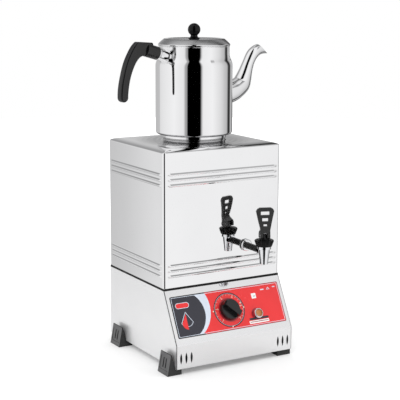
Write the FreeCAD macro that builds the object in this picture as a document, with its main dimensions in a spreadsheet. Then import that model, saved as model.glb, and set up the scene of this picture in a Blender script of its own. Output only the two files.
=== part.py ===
import FreeCAD, Part
import math
import os
import re
import Sketcher

# Tea urn: a square stainless hot-water tank on a heater base, with one lever tap
# and a teapot that stands in the collar on top of the tank.
# X runs to the right along the front, -Y is the front, Z is up.
# The origin is on the worktop, below the middle of the tank. All sizes are millimetres and degrees.

doc = FreeCAD.newDocument("tea_urn")

# Driving sizes. Each row is a word, its value and what it measures.
DRIVING = [
    ("tank_width", 250, "tank and base, left to right"),
    ("tank_depth", 220, "tank, front to back"),
    ("tank_height", 246.4, "tank walls, floor to rim"),
    ("sheet_thk", 0.8, "stainless sheet"),
    ("foot_clear", 11, "worktop to the underside of the base"),
    ("base_height", 134.4, "heater base, bottom to top"),
    ("slope_run", 47.5, "how far the sloped panel comes forward"),
    ("slope_rise", 90.9, "height of the sloped panel"),
    ("flange_wide", 14, "folded flanges of the base"),
    ("panel_gap", 0.25, "gap at each side of the front panel"),
    ("lip_gap", 0.6, "gap between the panel's top edge and the frame"),
    ("gasket_thk", 3.4, "rubber seam between base and tank"),
    ("gasket_wide", 12, "width of the rubber seam"),
    ("bead_pitch", 9.8, "spacing of the pressed beads"),
    ("bead_proud", 1.3, "how far a bead stands out"),
    ("bead_margin", 7, "plain sheet between a bead's end and the corner"),
    ("bead_low", 22.5, "lowest bead above the tank's bottom edge"),
    ("bead_high", 38.4, "highest bead below the tank's rim"),
    ("crown_rise", 6, "how far the top plate is crowned"),
    ("crown_border", 26, "width of the crowned border"),
    ("collar_bore", 58.2, "inner radius of the collar"),
    ("collar_rise", 12, "tank rim to collar rim"),
    ("collar_lip", 1.4, "rolled lip outside the collar"),
    ("boss_radius", 4.6, "screw bosses on the tank floor"),
    ("boss_height", 6, "screw bosses on the tank floor"),
    ("screw_radius", 2, "screws of the tank and feet"),
    ("head_radius", 3.8, "heads of those screws"),
    ("head_thk", 2.6, "heads of those screws"),
    ("vent_tall", 20.6, "lens-shaped air slots"),
    ("vent_wide", 4.4, "lens-shaped air slots"),
    ("vent_pitch", 10.8, "spacing of the air slots"),
    ("vent_edge", 9.6, "panel edge to the first slot"),
    ("vent_mid", 19.2, "panel's bottom edge to the middle of the slots"),
    ("floor_hole", 4, "radius of the air holes in the base floor"),
    ("floor_hole_pitch", 16, "spacing of those holes"),
    ("label_wide", 234, "printed panel label"),
    ("label_tall", 77.5, "printed panel label"),
    ("label_top", 12.2, "label below the panel's top edge"),
    ("label_thk", 0.4, "printed panel label"),
    ("dial_down", 51.7, "dial centre below the panel's top edge"),
    ("knob_radius", 20, "thermostat knob"),
    ("knob_skirt", 8, "height of the knob's skirt"),
    ("knob_height", 18.5, "thermostat knob, with its grip bar"),
    ("knob_gap", 0.8, "knob above the label"),
    ("grip_wide", 11, "grip bar of the knob"),
    ("grip_angle", -46, "grip bar from the horizontal"),
    ("spindle_radius", 3, "thermostat spindle"),
    ("spindle_play", 0.05, "spindle in its bush"),
    ("bush_radius", 5, "thermostat bush"),
    ("stat_wide", 42, "thermostat case"),
    ("stat_tall", 34, "thermostat case"),
    ("stat_deep", 22, "thermostat case"),
    ("lamp_across", 57, "lamp to the right of the dial"),
    ("lamp_down", 67.2, "lamp below the panel's top edge"),
    ("lamp_radius", 9.4, "lamp bezel"),
    ("lamp_out", 8.5, "lamp bezel above the panel"),
    ("lens_radius", 7.2, "amber lens"),
    ("lamp_neck", 6, "lamp's threaded neck"),
    ("element_tube", 4, "sheathed heating element"),
    ("element_spread", 26, "element's legs from the middle"),
    ("element_back", 30, "element's legs behind the middle"),
    ("element_loop", 90, "element's loop, front to back"),
    ("element_high", 22, "loop above the tank's bottom"),
    ("element_neck", 6, "threaded necks of the element"),
    ("element_nut", 9.6, "element nuts, to their corners"),
    ("pocket_radius", 6, "sensor pocket's neck"),
    ("pocket_across", 45, "sensor pocket and limiter from the middle"),
    ("pocket_tall", 52, "sensor pocket"),
    ("gland_across", 70, "cable gland to the right of the middle"),
    ("gland_high", 24, "cable gland above the base's bottom"),
    ("gland_radius", 8, "cable gland in the back wall"),
    ("gland_bore", 4, "cable gland"),
    ("wire_radius", 1.2, "wires inside the base"),
    ("tab_radius", 7.6, "half-round tab at the seam"),
    ("tab_thk", 1, "half-round tab"),
    ("tap_across", 50, "tap to the right of the middle"),
    ("tap_reach", 62, "tap's upright axis in front of the tank"),
    ("tap_high", 63.7, "barrel above the tank's bottom edge"),
    ("barrel_radius", 6.1, "tap barrel"),
    ("barrel_bore", 3.6, "tap barrel"),
    ("barrel_inside", 10, "barrel's length inside the tank wall"),
    ("fit_play", 0.05, "play between the tap's fitted pieces"),
    ("flange_radius", 11.8, "outer tap flange"),
    ("flange_thk", 5, "outer tap flange"),
    ("washer_radius", 11.3, "tap washers"),
    ("washer_thk", 1.8, "tap washers"),
    ("locknut_radius", 10.8, "inner nut, to its corners"),
    ("locknut_thk", 5, "inner nut"),
    ("outlet_radius", 7.5, "tap outlet at its lip"),
    ("outlet_bore", 5.4, "tap outlet"),
    ("outlet_drop", 23.2, "barrel axis to the outlet's lip"),
    ("cone_radius", 10.9, "top of the tap's cone"),
    ("cone_top", 4.9, "top of the cone above the barrel axis"),
    ("chamber_radius", 8.2, "valve chamber"),
    ("seat_low", 8, "valve seat below the barrel axis"),
    ("ring_radius", 12.9, "collar ring of the tap body"),
    ("ring_thk", 5.2, "collar ring of the tap body"),
    ("neck_radius", 10.4, "threaded neck inside the cap"),
    ("neck_height", 7.6, "threaded neck inside the cap"),
    ("cap_low_radius", 14.3, "fluted cap, lower edge"),
    ("cap_radius", 17.7, "fluted cap, upper edge"),
    ("cap_height", 11.9, "fluted cap"),
    ("flute_count", 14, "flutes round the cap"),
    ("flute_radius", 2, "flutes round the cap"),
    ("glide_thk", 0.8, "glide washer under the lever"),
    ("glide_radius", 12.6, "glide washer under the lever"),
    ("glide_bore", 4.3, "glide washer under the lever"),
    ("glide_gap", 0.3, "lever above its glide washer"),
    ("stem_radius", 3.95, "valve stem"),
    ("stem_eye", 7.4, "valve stem's flattened eye"),
    ("seat_radius", 6.8, "silicone seat cup"),
    ("seat_thk", 6, "silicone seat cup"),
    ("seat_gap", 0.3, "cup above its seat"),
    ("spring_wire", 0.5, "wire radius of the valve spring"),
    ("spring_radius", 5.4, "coil radius of the valve spring"),
    ("spring_turns", 6, "turns of the valve spring"),
    ("lever_turn", 20, "how far the lever is turned to the left"),
    ("cam_radius", 6.5, "round heels of the lever"),
    ("cam_ahead", 3.6, "heels in front of the pin"),
    ("pin_radius", 1.6, "lever pin"),
    ("fork_gap", 8, "gap between the lever's cheeks"),
    ("fork_wide", 18.6, "lever across its cheeks"),
    ("lever_top", 52.7, "lever above its pin"),
    ("lever_wide", 33.4, "lever at its widest"),
    ("lever_waist", 18, "lever at its waist"),
    ("lever_thk", 4.6, "lever blade"),
    ("foot_out", 16, "left foot outside the base at the worktop"),
    ("foot_peak_out", 8, "ridge of the left foot outside the base"),
    ("foot_tall", 38.5, "left foot"),
    ("foot_long", 38, "foot, front to back"),
    ("foot_inset", 4, "front edge to the front foot"),
    ("foot_rear_inset", 30, "rear edge to the rear foot"),
    ("foot_pad_left", 13, "left feet under the base"),
    ("foot_pad_right", 29, "right pads, flush with the side"),
    ("foot_relief", 0.8, "depth of the moulded field on a left foot"),
    ("pot_across", 0.9, "teapot's axis to the right of the middle"),
    ("pot_forward", 0.3, "teapot's axis in front of the middle"),
    ("pot_turn", 10, "how far the teapot is turned"),
    ("pot_radius", 72.6, "teapot body"),
    ("pot_tall", 172, "collar rim to the teapot's rim"),
    ("pot_wall", 0.9, "teapot sheet"),
    ("plug_radius", 57.4, "teapot's base inside the collar"),
    ("plug_deep", 9, "teapot's base inside the collar"),
    ("step_radius", 60.6, "teapot's step on the collar"),
    ("step_tall", 5, "teapot's step on the collar"),
    ("step_gap", 0.3, "step above the collar rim"),
    ("heel_radius", 5, "rounding at the teapot's lower edge"),
    ("shoulder_tall", 24, "height of the teapot's shoulder"),
    ("neck_tall", 15, "top of the shoulder to the teapot's rim"),
    ("pot_neck", 66.4, "teapot's neck radius"),
    ("rim_bead", 0.9, "rolled rim outside the neck"),
    ("lid_radius", 67.8, "lid"),
    ("lid_gap", 0.3, "lid above the teapot's rim"),
    ("lid_lip", 1.5, "edge of the lid"),
    ("lid_rise", 12.6, "ring of the lid above its lower face"),
    ("lid_ring", 52.5, "radius of the raised ring on the lid"),
    ("lid_recess", 2.8, "middle of the lid below its ring"),
    ("lid_skirt_radius", 64.6, "locating skirt under the lid"),
    ("lid_skirt", 8, "locating skirt under the lid"),
    ("ball_radius", 11.9, "lid knob"),
    ("ball_high", 18.6, "ball's centre above the lid"),
    ("ball_foot", 11, "foot of the lid knob"),
    ("ball_neck", 6.6, "neck of the lid knob"),
    ("lid_bolt", 2, "bolt of the lid knob"),
    ("spout_wall", 0.9, "spout sheet"),
    ("spout_root", 20.6, "spout's radius at the teapot"),
    ("spout_high", 75, "spout's root above the collar"),
    ("spout_reach", 120, "spout's bent length outside the teapot"),
    ("spout_mouth", 45, "hollow cut of the spout's mouth"),
    ("strainer_hole", 1.6, "radius of the strainer holes"),
    ("handle_tilt", 15, "handle's bolt axis above the horizontal"),
    ("handle_low", 18.5, "handle's bolt axis below the teapot's rim, at the neck"),
    ("plate_tall", 33, "oval handle plate"),
    ("plate_wide", 27, "oval handle plate"),
    ("plate_seat", 7.4, "handle plate's blank, inside the neck"),
    ("ferrule_radius", 11.4, "chrome ferrule"),
    ("ferrule_end", 90, "ferrule's outer end from the axis"),
    ("boss_out", 118, "handle boss's outer end from the axis"),
    ("handle_boss", 12.2, "handle boss"),
    ("grip_thk", 15.5, "handle grip, side to side"),
    ("grip_over", 9.6, "flat top of the grip above the teapot's rim"),
    ("grip_drop", 92.4, "boss's outer end down to the grip's tip"),
]

# Sizes that follow from the driving ones. They are put into an expression before it is bound.
DERIVED = {
    "half_width": "tank_width / 2",
    "half_depth": "tank_depth / 2",
    "base_top": "foot_clear + base_height",
    "tank_bottom": "base_top + gasket_thk",
    "tank_rim": "tank_bottom + tank_height + sheet_thk",
    "collar_top": "tank_rim + collar_rise",
    "fold_z": "base_top - slope_rise",
    "front_y": "half_depth + slope_run",
    "slope_len": "sqrt(slope_run ^ 2 + slope_rise ^ 2)",
    "slope_skin": "sheet_thk * slope_len / slope_rise",
    "inner_fold": "fold_z - sheet_thk * (slope_len - slope_rise) / slope_run",
    "screw_in": "flange_wide / 2",
    "tap_y": "half_depth + tap_reach",
    "tap_z": "tank_bottom + tap_high",
    "ring_top": "cone_top + ring_thk",
    "cap_top": "ring_top + cap_height",
    "pin_high": "cap_top + fit_play + glide_thk + glide_gap + cam_radius",
    "seat_top": "seat_gap + seat_thk - seat_low",
    "spring_top": "ring_top + neck_height + fit_play",
    "spring_tall": "spring_top - seat_top",
    "vent_arc": "(vent_tall ^ 2 + vent_wide ^ 2) / (4 * vent_wide)",
    "shoulder_high": "pot_tall - neck_tall",
    "shoulder_low": "shoulder_high - shoulder_tall",
    "handle_high": "pot_tall - handle_low",
    "grip_top": "pot_tall + grip_over",
    "lid_low": "pot_tall + lid_gap",
    "lid_top": "lid_low + lid_rise - lid_recess",
}

SIZES = {}
sheet = doc.addObject("Spreadsheet::Sheet", "sizes")
for row, (word, number, meaning) in enumerate(DRIVING, start=1):
    sheet.set("A%d" % row, meaning)
    sheet.set("B%d" % row, str(number))
    sheet.setAlias("B%d" % row, word)
    SIZES[word] = number
doc.recompute()

WORD = re.compile(r"[A-Za-z_]\w*")


def expand(text):
    """Writes out derived sizes, then points every word at its cell."""
    text = str(text)
    while any(word in DERIVED for word in WORD.findall(text)):
        text = WORD.sub(lambda m: "(%s)" % DERIVED[m[0]] if m[0] in DERIVED else m[0], text)
    return WORD.sub(lambda m: "sizes." + m[0] if m[0] in SIZES else m[0], text)


def value(text):
    """The number that an expression has now."""
    found = sheet.evalExpression(expand(text))
    return float(getattr(found, "Value", found))


def link(thing, prop, text):
    thing.setExpression(prop, expand(text))


def place(thing, x=0, y=0, z=0):
    """Binds where a piece stands."""
    for axis, text in (("x", x), ("y", y), ("z", z)):
        link(thing, "Placement.Base." + axis, text)
    return thing


def turned(thing, axis, angle):
    """Turns a piece about an axis through its own origin, by an angle that can be an expression."""
    thing.Placement = FreeCAD.Placement(thing.Placement.Base, FreeCAD.Rotation(axis, 10))
    link(thing, "Placement.Rotation.Angle", angle)
    return thing


X_AXIS = FreeCAD.Vector(1, 0, 0)
Y_AXIS = FreeCAD.Vector(0, 1, 0)
Z_AXIS = FreeCAD.Vector(0, 0, 1)


def box(name, wide, deep, tall, x=0, y=0, z=0):
    """A block that is centred on x and y and stands on z."""
    block = doc.addObject("Part::Box", name)
    link(block, "Length", wide)
    link(block, "Width", deep)
    link(block, "Height", tall)
    return place(block, "%s - (%s) / 2" % (x, wide), "%s - (%s) / 2" % (y, deep), z)


def rod(name, radius, length, x=0, y=0, z=0, along="Z"):
    """A round bar from a start point along an axis."""
    bar = doc.addObject("Part::Cylinder", name)
    link(bar, "Radius", radius)
    link(bar, "Height", length)
    place(bar, x, y, z)
    if along == "X":
        turned(bar, Y_AXIS, 90)
    if along == "Y":
        turned(bar, X_AXIS, -90)
    return bar


def tube(name, outer, inner, length, x=0, y=0, z=0, along="Z"):
    """A round bar with a hole right through."""
    bar = rod(name + "_bar", outer, length, x, y, z, along)
    return cut(name, bar, rod(name + "_hole", inner, length, x, y, z, along))


def hexagon(name, corner, length, x=0, y=0, z=0, along="Z"):
    """A six-sided bar, sized to its corners."""
    bar = doc.addObject("Part::Prism", name)
    bar.Polygon = 6
    link(bar, "Circumradius", corner)
    link(bar, "Height", length)
    place(bar, x, y, z)
    return turned(bar, X_AXIS, -90) if along == "Y" else bar


def fuse(name, *shapes):
    joined = doc.addObject("Part::MultiFuse", name)
    joined.Shapes = list(shapes)
    return joined


def cut(name, base, *tools):
    """Takes one or more tools away from a base."""
    result = doc.addObject("Part::Cut", name)
    result.Base = base
    result.Tool = tools[0] if len(tools) == 1 else fuse(name + "_tools", *tools)
    return result


def common(name, first, second):
    result = doc.addObject("Part::Common", name)
    result.Base = first
    result.Tool = second
    return result


def shape_of(name, shape):
    """A free-form piece that Part's own functions make."""
    piece = doc.addObject("Part::Feature", name)
    piece.Shape = shape
    return piece


def arc_between(start, end, radius, side):
    """An arc from start to end that bulges to the right of the way (side 1) or to the left (side -1)."""
    chord = end - start
    middle = (start + end) * 0.5
    across = FreeCAD.Vector(chord.y, -chord.x, 0).normalize() * side
    reach = math.sqrt(max(radius ** 2 - (chord.Length / 2) ** 2, 0))
    centre = middle - across * reach
    first = math.atan2(start.y - centre.y, start.x - centre.x)
    last = math.atan2(end.y - centre.y, end.x - centre.x)
    if side < 0:
        first, last = last, first
    circle = Part.Circle(centre, Z_AXIS, radius)
    return Part.ArcOfCircle(circle, first, last + (2 * math.pi if last < first else 0))


def outline(sketch, corners):
    """Draws a closed outline. A corner is (across, up), with a radius and a side where an arc leaves it."""
    spots = [FreeCAD.Vector(value(c[0]), value(c[1]), 0) for c in corners]
    first = sketch.GeometryCount
    ends = []
    for i, corner in enumerate(corners):
        start, end = spots[i], spots[(i + 1) % len(spots)]
        if len(corner) == 4:
            radius = value(corner[2])
            edge = sketch.addGeometry(arc_between(start, end, radius, corner[3]), False)
            k = sketch.addConstraint(Sketcher.Constraint("Radius", edge, radius))
            link(sketch, "Constraints[%d]" % k, corner[2])
            ends.append((1, 2) if corner[3] > 0 else (2, 1))
        else:
            sketch.addGeometry(Part.LineSegment(start, end), False)
            ends.append((1, 2))
    for i, corner in enumerate(corners):
        after = (i + 1) % len(corners)
        sketch.addConstraint(Sketcher.Constraint("Coincident", first + i, ends[i][1], first + after,
                                                 ends[after][0]))
        for kind, text, number in (("DistanceX", corner[0], spots[i].x),
                                   ("DistanceY", corner[1], spots[i].y)):
            k = sketch.addConstraint(Sketcher.Constraint(kind, -1, 1, first + i, ends[i][0], number))
            link(sketch, "Constraints[%d]" % k, text)


def drawn(name, plane, *outlines):
    """A body with one sketch on one of its own planes."""
    body = doc.addObject("PartDesign::Body", name)
    support = [p for p in body.Origin.OriginFeatures if p.Role == plane][0]
    sketch = body.newObject("Sketcher::SketchObject", name + "_sketch")
    sketch.AttachmentSupport = [(support, "")]
    sketch.MapMode = "FlatFace"
    for corners in outlines:
        outline(sketch, corners)
    return body, sketch


def padded(name, plane, length, *outlines):
    """A body drawn in outline and thickened to both sides of its plane."""
    body, sketch = drawn(name, plane, *outlines)
    pad = body.newObject("PartDesign::Pad", name + "_pad")
    pad.Profile = sketch
    pad.Midplane = True
    link(pad, "Length", length)
    return body


def spun(name, *corners):
    """A body turned about the Z axis from an outline of (radius, height) corners."""
    body, sketch = drawn(name, "XZ_Plane", corners)
    turn = body.newObject("PartDesign::Revolution", name + "_turn")
    turn.Profile = sketch
    turn.ReferenceAxis = (sketch, ["V_Axis"])
    turn.Angle = 360
    return body


def on_slope(thing, across=0, down=0, out=0):
    """Stands a piece on the sloped panel: its Z axis is the panel's outward normal, its Y axis climbs."""
    turned(thing, X_AXIS, "atan(slope_rise / slope_run)")
    return place(
        thing, across,
        "-half_depth - (%s) * slope_run / slope_len - (%s) * slope_rise / slope_len" % (down, out),
        "base_top - (%s) * slope_rise / slope_len + (%s) * slope_run / slope_len" % (down, out))


def bent_wire(points, bend):
    """A path of straight runs and tangent arcs through a list of points."""
    edges = []
    last = points[0]
    for i in range(1, len(points) - 1):
        into = (points[i] - points[i - 1]).normalize()
        out = (points[i + 1] - points[i]).normalize()
        half = into.getAngle(out) / 2
        reach = bend * math.tan(half)
        start = points[i] - into * reach
        end = points[i] + out * reach
        centre = start + ((out - into).normalize() * (bend / math.cos(half)) + into * reach)
        middle = centre + (points[i] - centre).normalize() * bend
        edges.append(Part.LineSegment(last, start).toShape())
        edges.append(Part.Arc(start, middle, end).toShape())
        last = end
    edges.append(Part.LineSegment(last, points[-1]).toShape())
    return Part.Wire(edges)


def bent_rod(points, bend, radius):
    """A round bar or tube's solid along a bent wire."""
    wire = bent_wire(points, bend)
    ring = Part.Wire(Part.Circle(points[0], points[1] - points[0], radius).toShape())
    return wire.makePipeShell([ring], True, False)


# Tank
# Four walls of one folded sheet, with three pressed beads near the top and three near the bottom.

def tank_shell():
    walls = cut("tank_walls",
                box("tank_outer", "tank_width", "tank_depth", "tank_height", z="tank_bottom"),
                box("tank_inner", "tank_width - 2 * sheet_thk", "tank_depth - 2 * sheet_thk", "tank_height",
                    z="tank_bottom"))
    beads = []
    heights = ["tank_bottom + bead_low + %d * bead_pitch" % i for i in range(3)]
    heights += ["tank_rim - bead_high - %d * bead_pitch" % i for i in range(3)]
    for i, height in enumerate(heights):
        for side, sign in (("front", "-"), ("back", "")):
            beads.append(rod("bead_%s_%d" % (side, i), "bead_proud", "tank_width - 2 * bead_margin",
                             "bead_margin - half_width", sign + "half_depth", height, "X"))
        for side, sign in (("left", "-"), ("right", "")):
            beads.append(rod("bead_%s_%d" % (side, i), "bead_proud", "tank_depth - 2 * bead_margin",
                             sign + "half_width", "bead_margin - half_depth", height, "Y"))
    core = box("bead_core", "tank_width - sheet_thk", "tank_depth - sheet_thk", "tank_height",
               z="tank_bottom")
    hole = rod("tap_hole", "barrel_radius + fit_play", "4 * sheet_thk", "tap_across",
               "-half_depth - 2 * sheet_thk", "tap_z", "Y")
    cut("tank_shell", fuse("tank_beaded", walls, cut("beads", fuse("bead_bars", *beads), core)), hole)


def loft_of(name, sections, solid_kind):
    """Adds a loft through rectangles, each (half width, half depth, height), to a body."""
    body = doc.getObject(name)
    support = [p for p in body.Origin.OriginFeatures if p.Role == "XY_Plane"][0]
    rings = []
    for i, (wide, deep, high) in enumerate(sections):
        ring = body.newObject("Sketcher::SketchObject", "%s_%s_%d" % (name, solid_kind[12:], i))
        ring.AttachmentSupport = [(support, "")]
        ring.MapMode = "FlatFace"
        link(ring, "AttachmentOffset.Base.z", high)
        outline(ring,
                [("-(%s)" % wide, "-(%s)" % deep), (wide, "-(%s)" % deep), (wide, deep),
                 ("-(%s)" % wide, deep)])
        rings.append(ring)
    loft = body.newObject(solid_kind, "%s_%s" % (name, solid_kind[12:]))
    loft.Profile = rings[0]
    loft.Sections = rings[1:]
    return loft


def crowned(name, inset, drop):
    """A solid with the top plate's crown: upright at its edge, then rising to a flat middle."""
    doc.addObject("PartDesign::Body", name)
    low = "tank_rim - sheet_thk"
    steps = [(0, low), (0, "tank_rim"), ("crown_border * 0.12", "tank_rim + crown_rise * 0.34"),
             ("crown_border * 0.36", "tank_rim + crown_rise * 0.7"),
             ("crown_border * 0.66", "tank_rim + crown_rise * 0.92"),
             ("crown_border", "tank_rim + crown_rise")]
    sections = [("half_width - (%s) - %s" % (across, inset), "half_depth - (%s) - %s" % (across, inset),
                 "%s - %s" % (high, drop)) for across, high in steps]
    loft_of(name, sections, "PartDesign::AdditiveLoft").Ruled = True
    return doc.getObject(name)


def tank_top():
    plate = cut("crown_plate", crowned("crown_outer", "0", "0"),
                crowned("crown_inner", "2 * sheet_thk", "sheet_thk"))
    collar = spun("collar_turned",
                  ("collar_bore", "tank_rim + crown_rise - sheet_thk"),
                  ("collar_bore + 5 * sheet_thk", "tank_rim + crown_rise - sheet_thk"),
                  ("collar_bore + 5 * sheet_thk", "tank_rim + crown_rise", "3 * sheet_thk + 0.6", -1),
                  ("collar_bore + sheet_thk", "collar_top - 2 * collar_lip"),
                  ("collar_bore + collar_lip", "collar_top - 1.6 * collar_lip", "0.85 * collar_lip", 1),
                  ("collar_bore + collar_lip", "collar_top"),
                  ("collar_bore", "collar_top"))
    place(collar, "pot_across", "-pot_forward", 0)
    mouth = rod("collar_mouth", "collar_bore", "4 * collar_rise", "pot_across", "-pot_forward",
                "tank_rim - collar_rise")
    cut("tank_top", fuse("collared_plate", plate, collar), mouth)


def corner_rods(name, radius, length, inset, z):
    """Four upright bars, one near each corner of the tank."""
    rods = []
    for i, (side, end) in enumerate((("-", "-"), ("", "-"), ("", ""), ("-", ""))):
        rods.append(rod("%s_%d" % (name, i), radius, length, "%s(half_width - %s)" % (side, inset),
                        "%s(half_depth - %s)" % (end, inset), z))
    return rods


def tank_floor():
    plate = box("floor_plate", "tank_width - 2 * sheet_thk", "tank_depth - 2 * sheet_thk", "sheet_thk",
                z="tank_bottom")
    bosses = corner_rods("floor_boss", "boss_radius", "boss_height", "screw_in", "tank_bottom")
    holes = corner_rods("boss_hole", "screw_radius + fit_play", "boss_height - sheet_thk", "screw_in",
                        "tank_bottom")
    for side in (-1, 1):
        holes.append(rod("element_hole_%d" % (side + 1), "element_neck + fit_play", "sheet_thk",
                         "%d * element_spread" % side, "element_back", "tank_bottom"))
    holes.append(rod("pocket_hole", "pocket_radius + fit_play", "sheet_thk", "-pocket_across", 0,
                     "tank_bottom"))
    cut("tank_floor", fuse("floor_solid", plate, *bosses), *holes)


def seam_gasket():
    outer = box("gasket_outer", "tank_width - sheet_thk", "tank_depth - sheet_thk", "gasket_thk",
                z="base_top")
    inner = box("gasket_inner", "tank_width - 2 * gasket_wide", "tank_depth - 2 * gasket_wide", "gasket_thk",
                z="base_top")
    cut("seam_gasket", outer, inner,
        *corner_rods("gasket_hole", "screw_radius + fit_play", "gasket_thk", "screw_in", "base_top"))


def tank_screws():
    screws = corner_rods("tank_screw_head", "head_radius", "head_thk", "screw_in",
                         "base_top - sheet_thk - head_thk")
    shafts = corner_rods("tank_screw_shaft", "screw_radius", "gasket_thk + boss_height - sheet_thk",
                         "screw_in",
                         "base_top - sheet_thk")
    fuse("tank_screws", *screws, *shafts)


# Heater, sensors and wiring, inside the tank and the base

def heating_element():
    spread, back, tall = value("element_spread"), value("element_back"), value("tank_bottom + element_high")
    front, low = back - value("element_loop"), value("tank_bottom - 3.4 * element_neck")
    path = [FreeCAD.Vector(*spot) for spot in (
        (-spread, back, low), (-spread, back, tall), (-spread, front, tall),
        (spread, front, tall), (spread, back, tall), (spread, back, low))]
    loop = shape_of("element_loop_tube", bent_rod(path, 3 * value("element_tube"), value("element_tube")))
    necks, washers, nuts = [], [], []
    for side in (-1, 1):
        across = "%d * element_spread" % side
        tag = "_%d" % (side + 1)
        necks.append(rod("element_neck" + tag, "element_neck", "2 * element_neck", across, "element_back",
                         "tank_bottom + sheet_thk - 2 * element_neck"))
        necks.append(rod("element_flange" + tag, "1.5 * element_neck", "2.4", across, "element_back",
                         "tank_bottom + sheet_thk"))
        washers.append(tube("element_washer" + tag, "1.5 * element_neck", "element_neck + fit_play", "1.2",
                            across,
                            "element_back", "tank_bottom - 1.2"))
        nut = hexagon("element_hex" + tag, "element_nut", "5", across, "element_back", "tank_bottom - 6.2")
        hole = rod("element_nut_hole" + tag, "element_neck + fit_play", "5", across, "element_back",
                   "tank_bottom - 6.2")
        nuts.append(cut("element_nut" + tag, nut, hole))
    fuse("heating_element", loop, *necks)
    fuse("element_washers", *washers)
    fuse("element_nuts", *nuts)


def sensors():
    well = spun("thermowell",
                ("0.5 * pocket_radius", "-1.3 * pocket_radius"), ("pocket_radius", "-1.3 * pocket_radius"),
                ("pocket_radius", "sheet_thk"), ("1.4 * pocket_radius", "sheet_thk"),
                ("1.4 * pocket_radius", "sheet_thk + 2"), ("0.75 * pocket_radius", "sheet_thk + 2"),
                ("0.75 * pocket_radius", "pocket_tall"), (0, "pocket_tall"), (0, "pocket_tall - 2"),
                ("0.5 * pocket_radius", "pocket_tall - 2"))
    place(well, "-pocket_across", 0, "tank_bottom")
    disc = spun("limiter_disc",
                (0, -9), (11, -9), (11, -1.5), (12.5, -1.5), (12.5, 0), (0, 0))
    blades = [box("limiter_blade_%d" % side, "6", "0.8", "7", y="%d" % (side * 5), z="-15.9")
              for side in (-1, 1)]
    place(fuse("limit_thermostat", disc, *blades), "pocket_across", 0, "tank_bottom")


def on_panel(across, down, out):
    """A spot in space from the slope's own measures."""
    run, rise = value("slope_run / slope_len"), value("slope_rise / slope_len")
    return FreeCAD.Vector(across, -value("half_depth") - down * run - out * rise,
                          value("base_top") - down * rise + out * run)


def wiring():
    tank, well = value("tank_bottom"), -value("pocket_across")
    back = -value("stat_deep + 2 * sheet_thk")
    dial, spread = value("dial_down"), value("element_spread")
    low, legs = value("tank_bottom - 3.4 * element_neck") - 0.4, value("element_back")
    bulb = shape_of("bulb",
                    Part.makeCylinder(0.42 * value("pocket_radius"), 30, FreeCAD.Vector(well, 0, tank + 15)))
    path = [FreeCAD.Vector(well, 0, tank + 16), FreeCAD.Vector(well, 0, tank - 30),
            FreeCAD.Vector(well, -55, tank - 42), on_panel(-12, dial, back - 25),
            on_panel(-12, dial, back - 0.2)]
    fuse("capillary", bulb, shape_of("capillary_tube", bent_rod(path, 8, 0.8)))
    block_y, block_z = value("half_depth - 75"), value("foot_clear + 2 * sheet_thk + 8")
    radius = value("wire_radius")
    across = value("gland_across")
    runs = [
        [FreeCAD.Vector(across - 11, block_y - 12.3, block_z),
         FreeCAD.Vector(across - 11, block_y - 60, block_z + 8),
         on_panel(12, dial + 8, back - 25), on_panel(12, dial + 8, back - 0.2)],
        [on_panel(12, dial - 8, back - 0.2), on_panel(12, dial - 8, back - 24),
         FreeCAD.Vector(-10, -40, low - 22),
         FreeCAD.Vector(-spread, legs, low - 22), FreeCAD.Vector(-spread, legs, low)],
        [FreeCAD.Vector(across, block_y - 12.3, block_z), FreeCAD.Vector(across, block_y - 34, block_z + 4),
         FreeCAD.Vector(spread, legs, low - 40), FreeCAD.Vector(spread, legs, low)],
    ]
    wires = [shape_of("wire_%d" % i, bent_rod(path, 7, radius)) for i, path in enumerate(runs)]
    fuse("heater_wires", *wires)
    block = box("block_body", "44", "24", "16", "gland_across", "half_depth - 75",
                "foot_clear + 2 * sheet_thk")
    holes = [rod("block_hole_%d" % i, "2", "24", "gland_across + %d" % (11 * i - 11), "half_depth - 87",
                 "foot_clear + 2 * sheet_thk + 8", "Y") for i in range(3)]
    cut("terminal_block", block, *holes)
    stud = spun("earth_stud",
                (0, 0), (5, 0), (5, 1.5), (2.5, 1.5), (2.5, 5), (4.2, 5), (4.2, 8), (2.5, 8), (2.5, 14),
                (0, 14))
    place(stud, "gland_across - 50", "half_depth - 40", "foot_clear + 2 * sheet_thk")
    gland = spun("cable_gland",
                 ("gland_bore", -5), ("gland_radius + 2", -5), ("gland_radius + 2", "-sheet_thk"),
                 ("gland_radius", "-sheet_thk"), ("gland_radius", 0), ("gland_radius + 2", 0),
                 ("gland_radius + 2", 2), ("gland_radius", 4), ("gland_bore", 4))
    turned(place(gland, "gland_across", "half_depth", "foot_clear + gland_high"), X_AXIS, -90)


# Heater base

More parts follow.
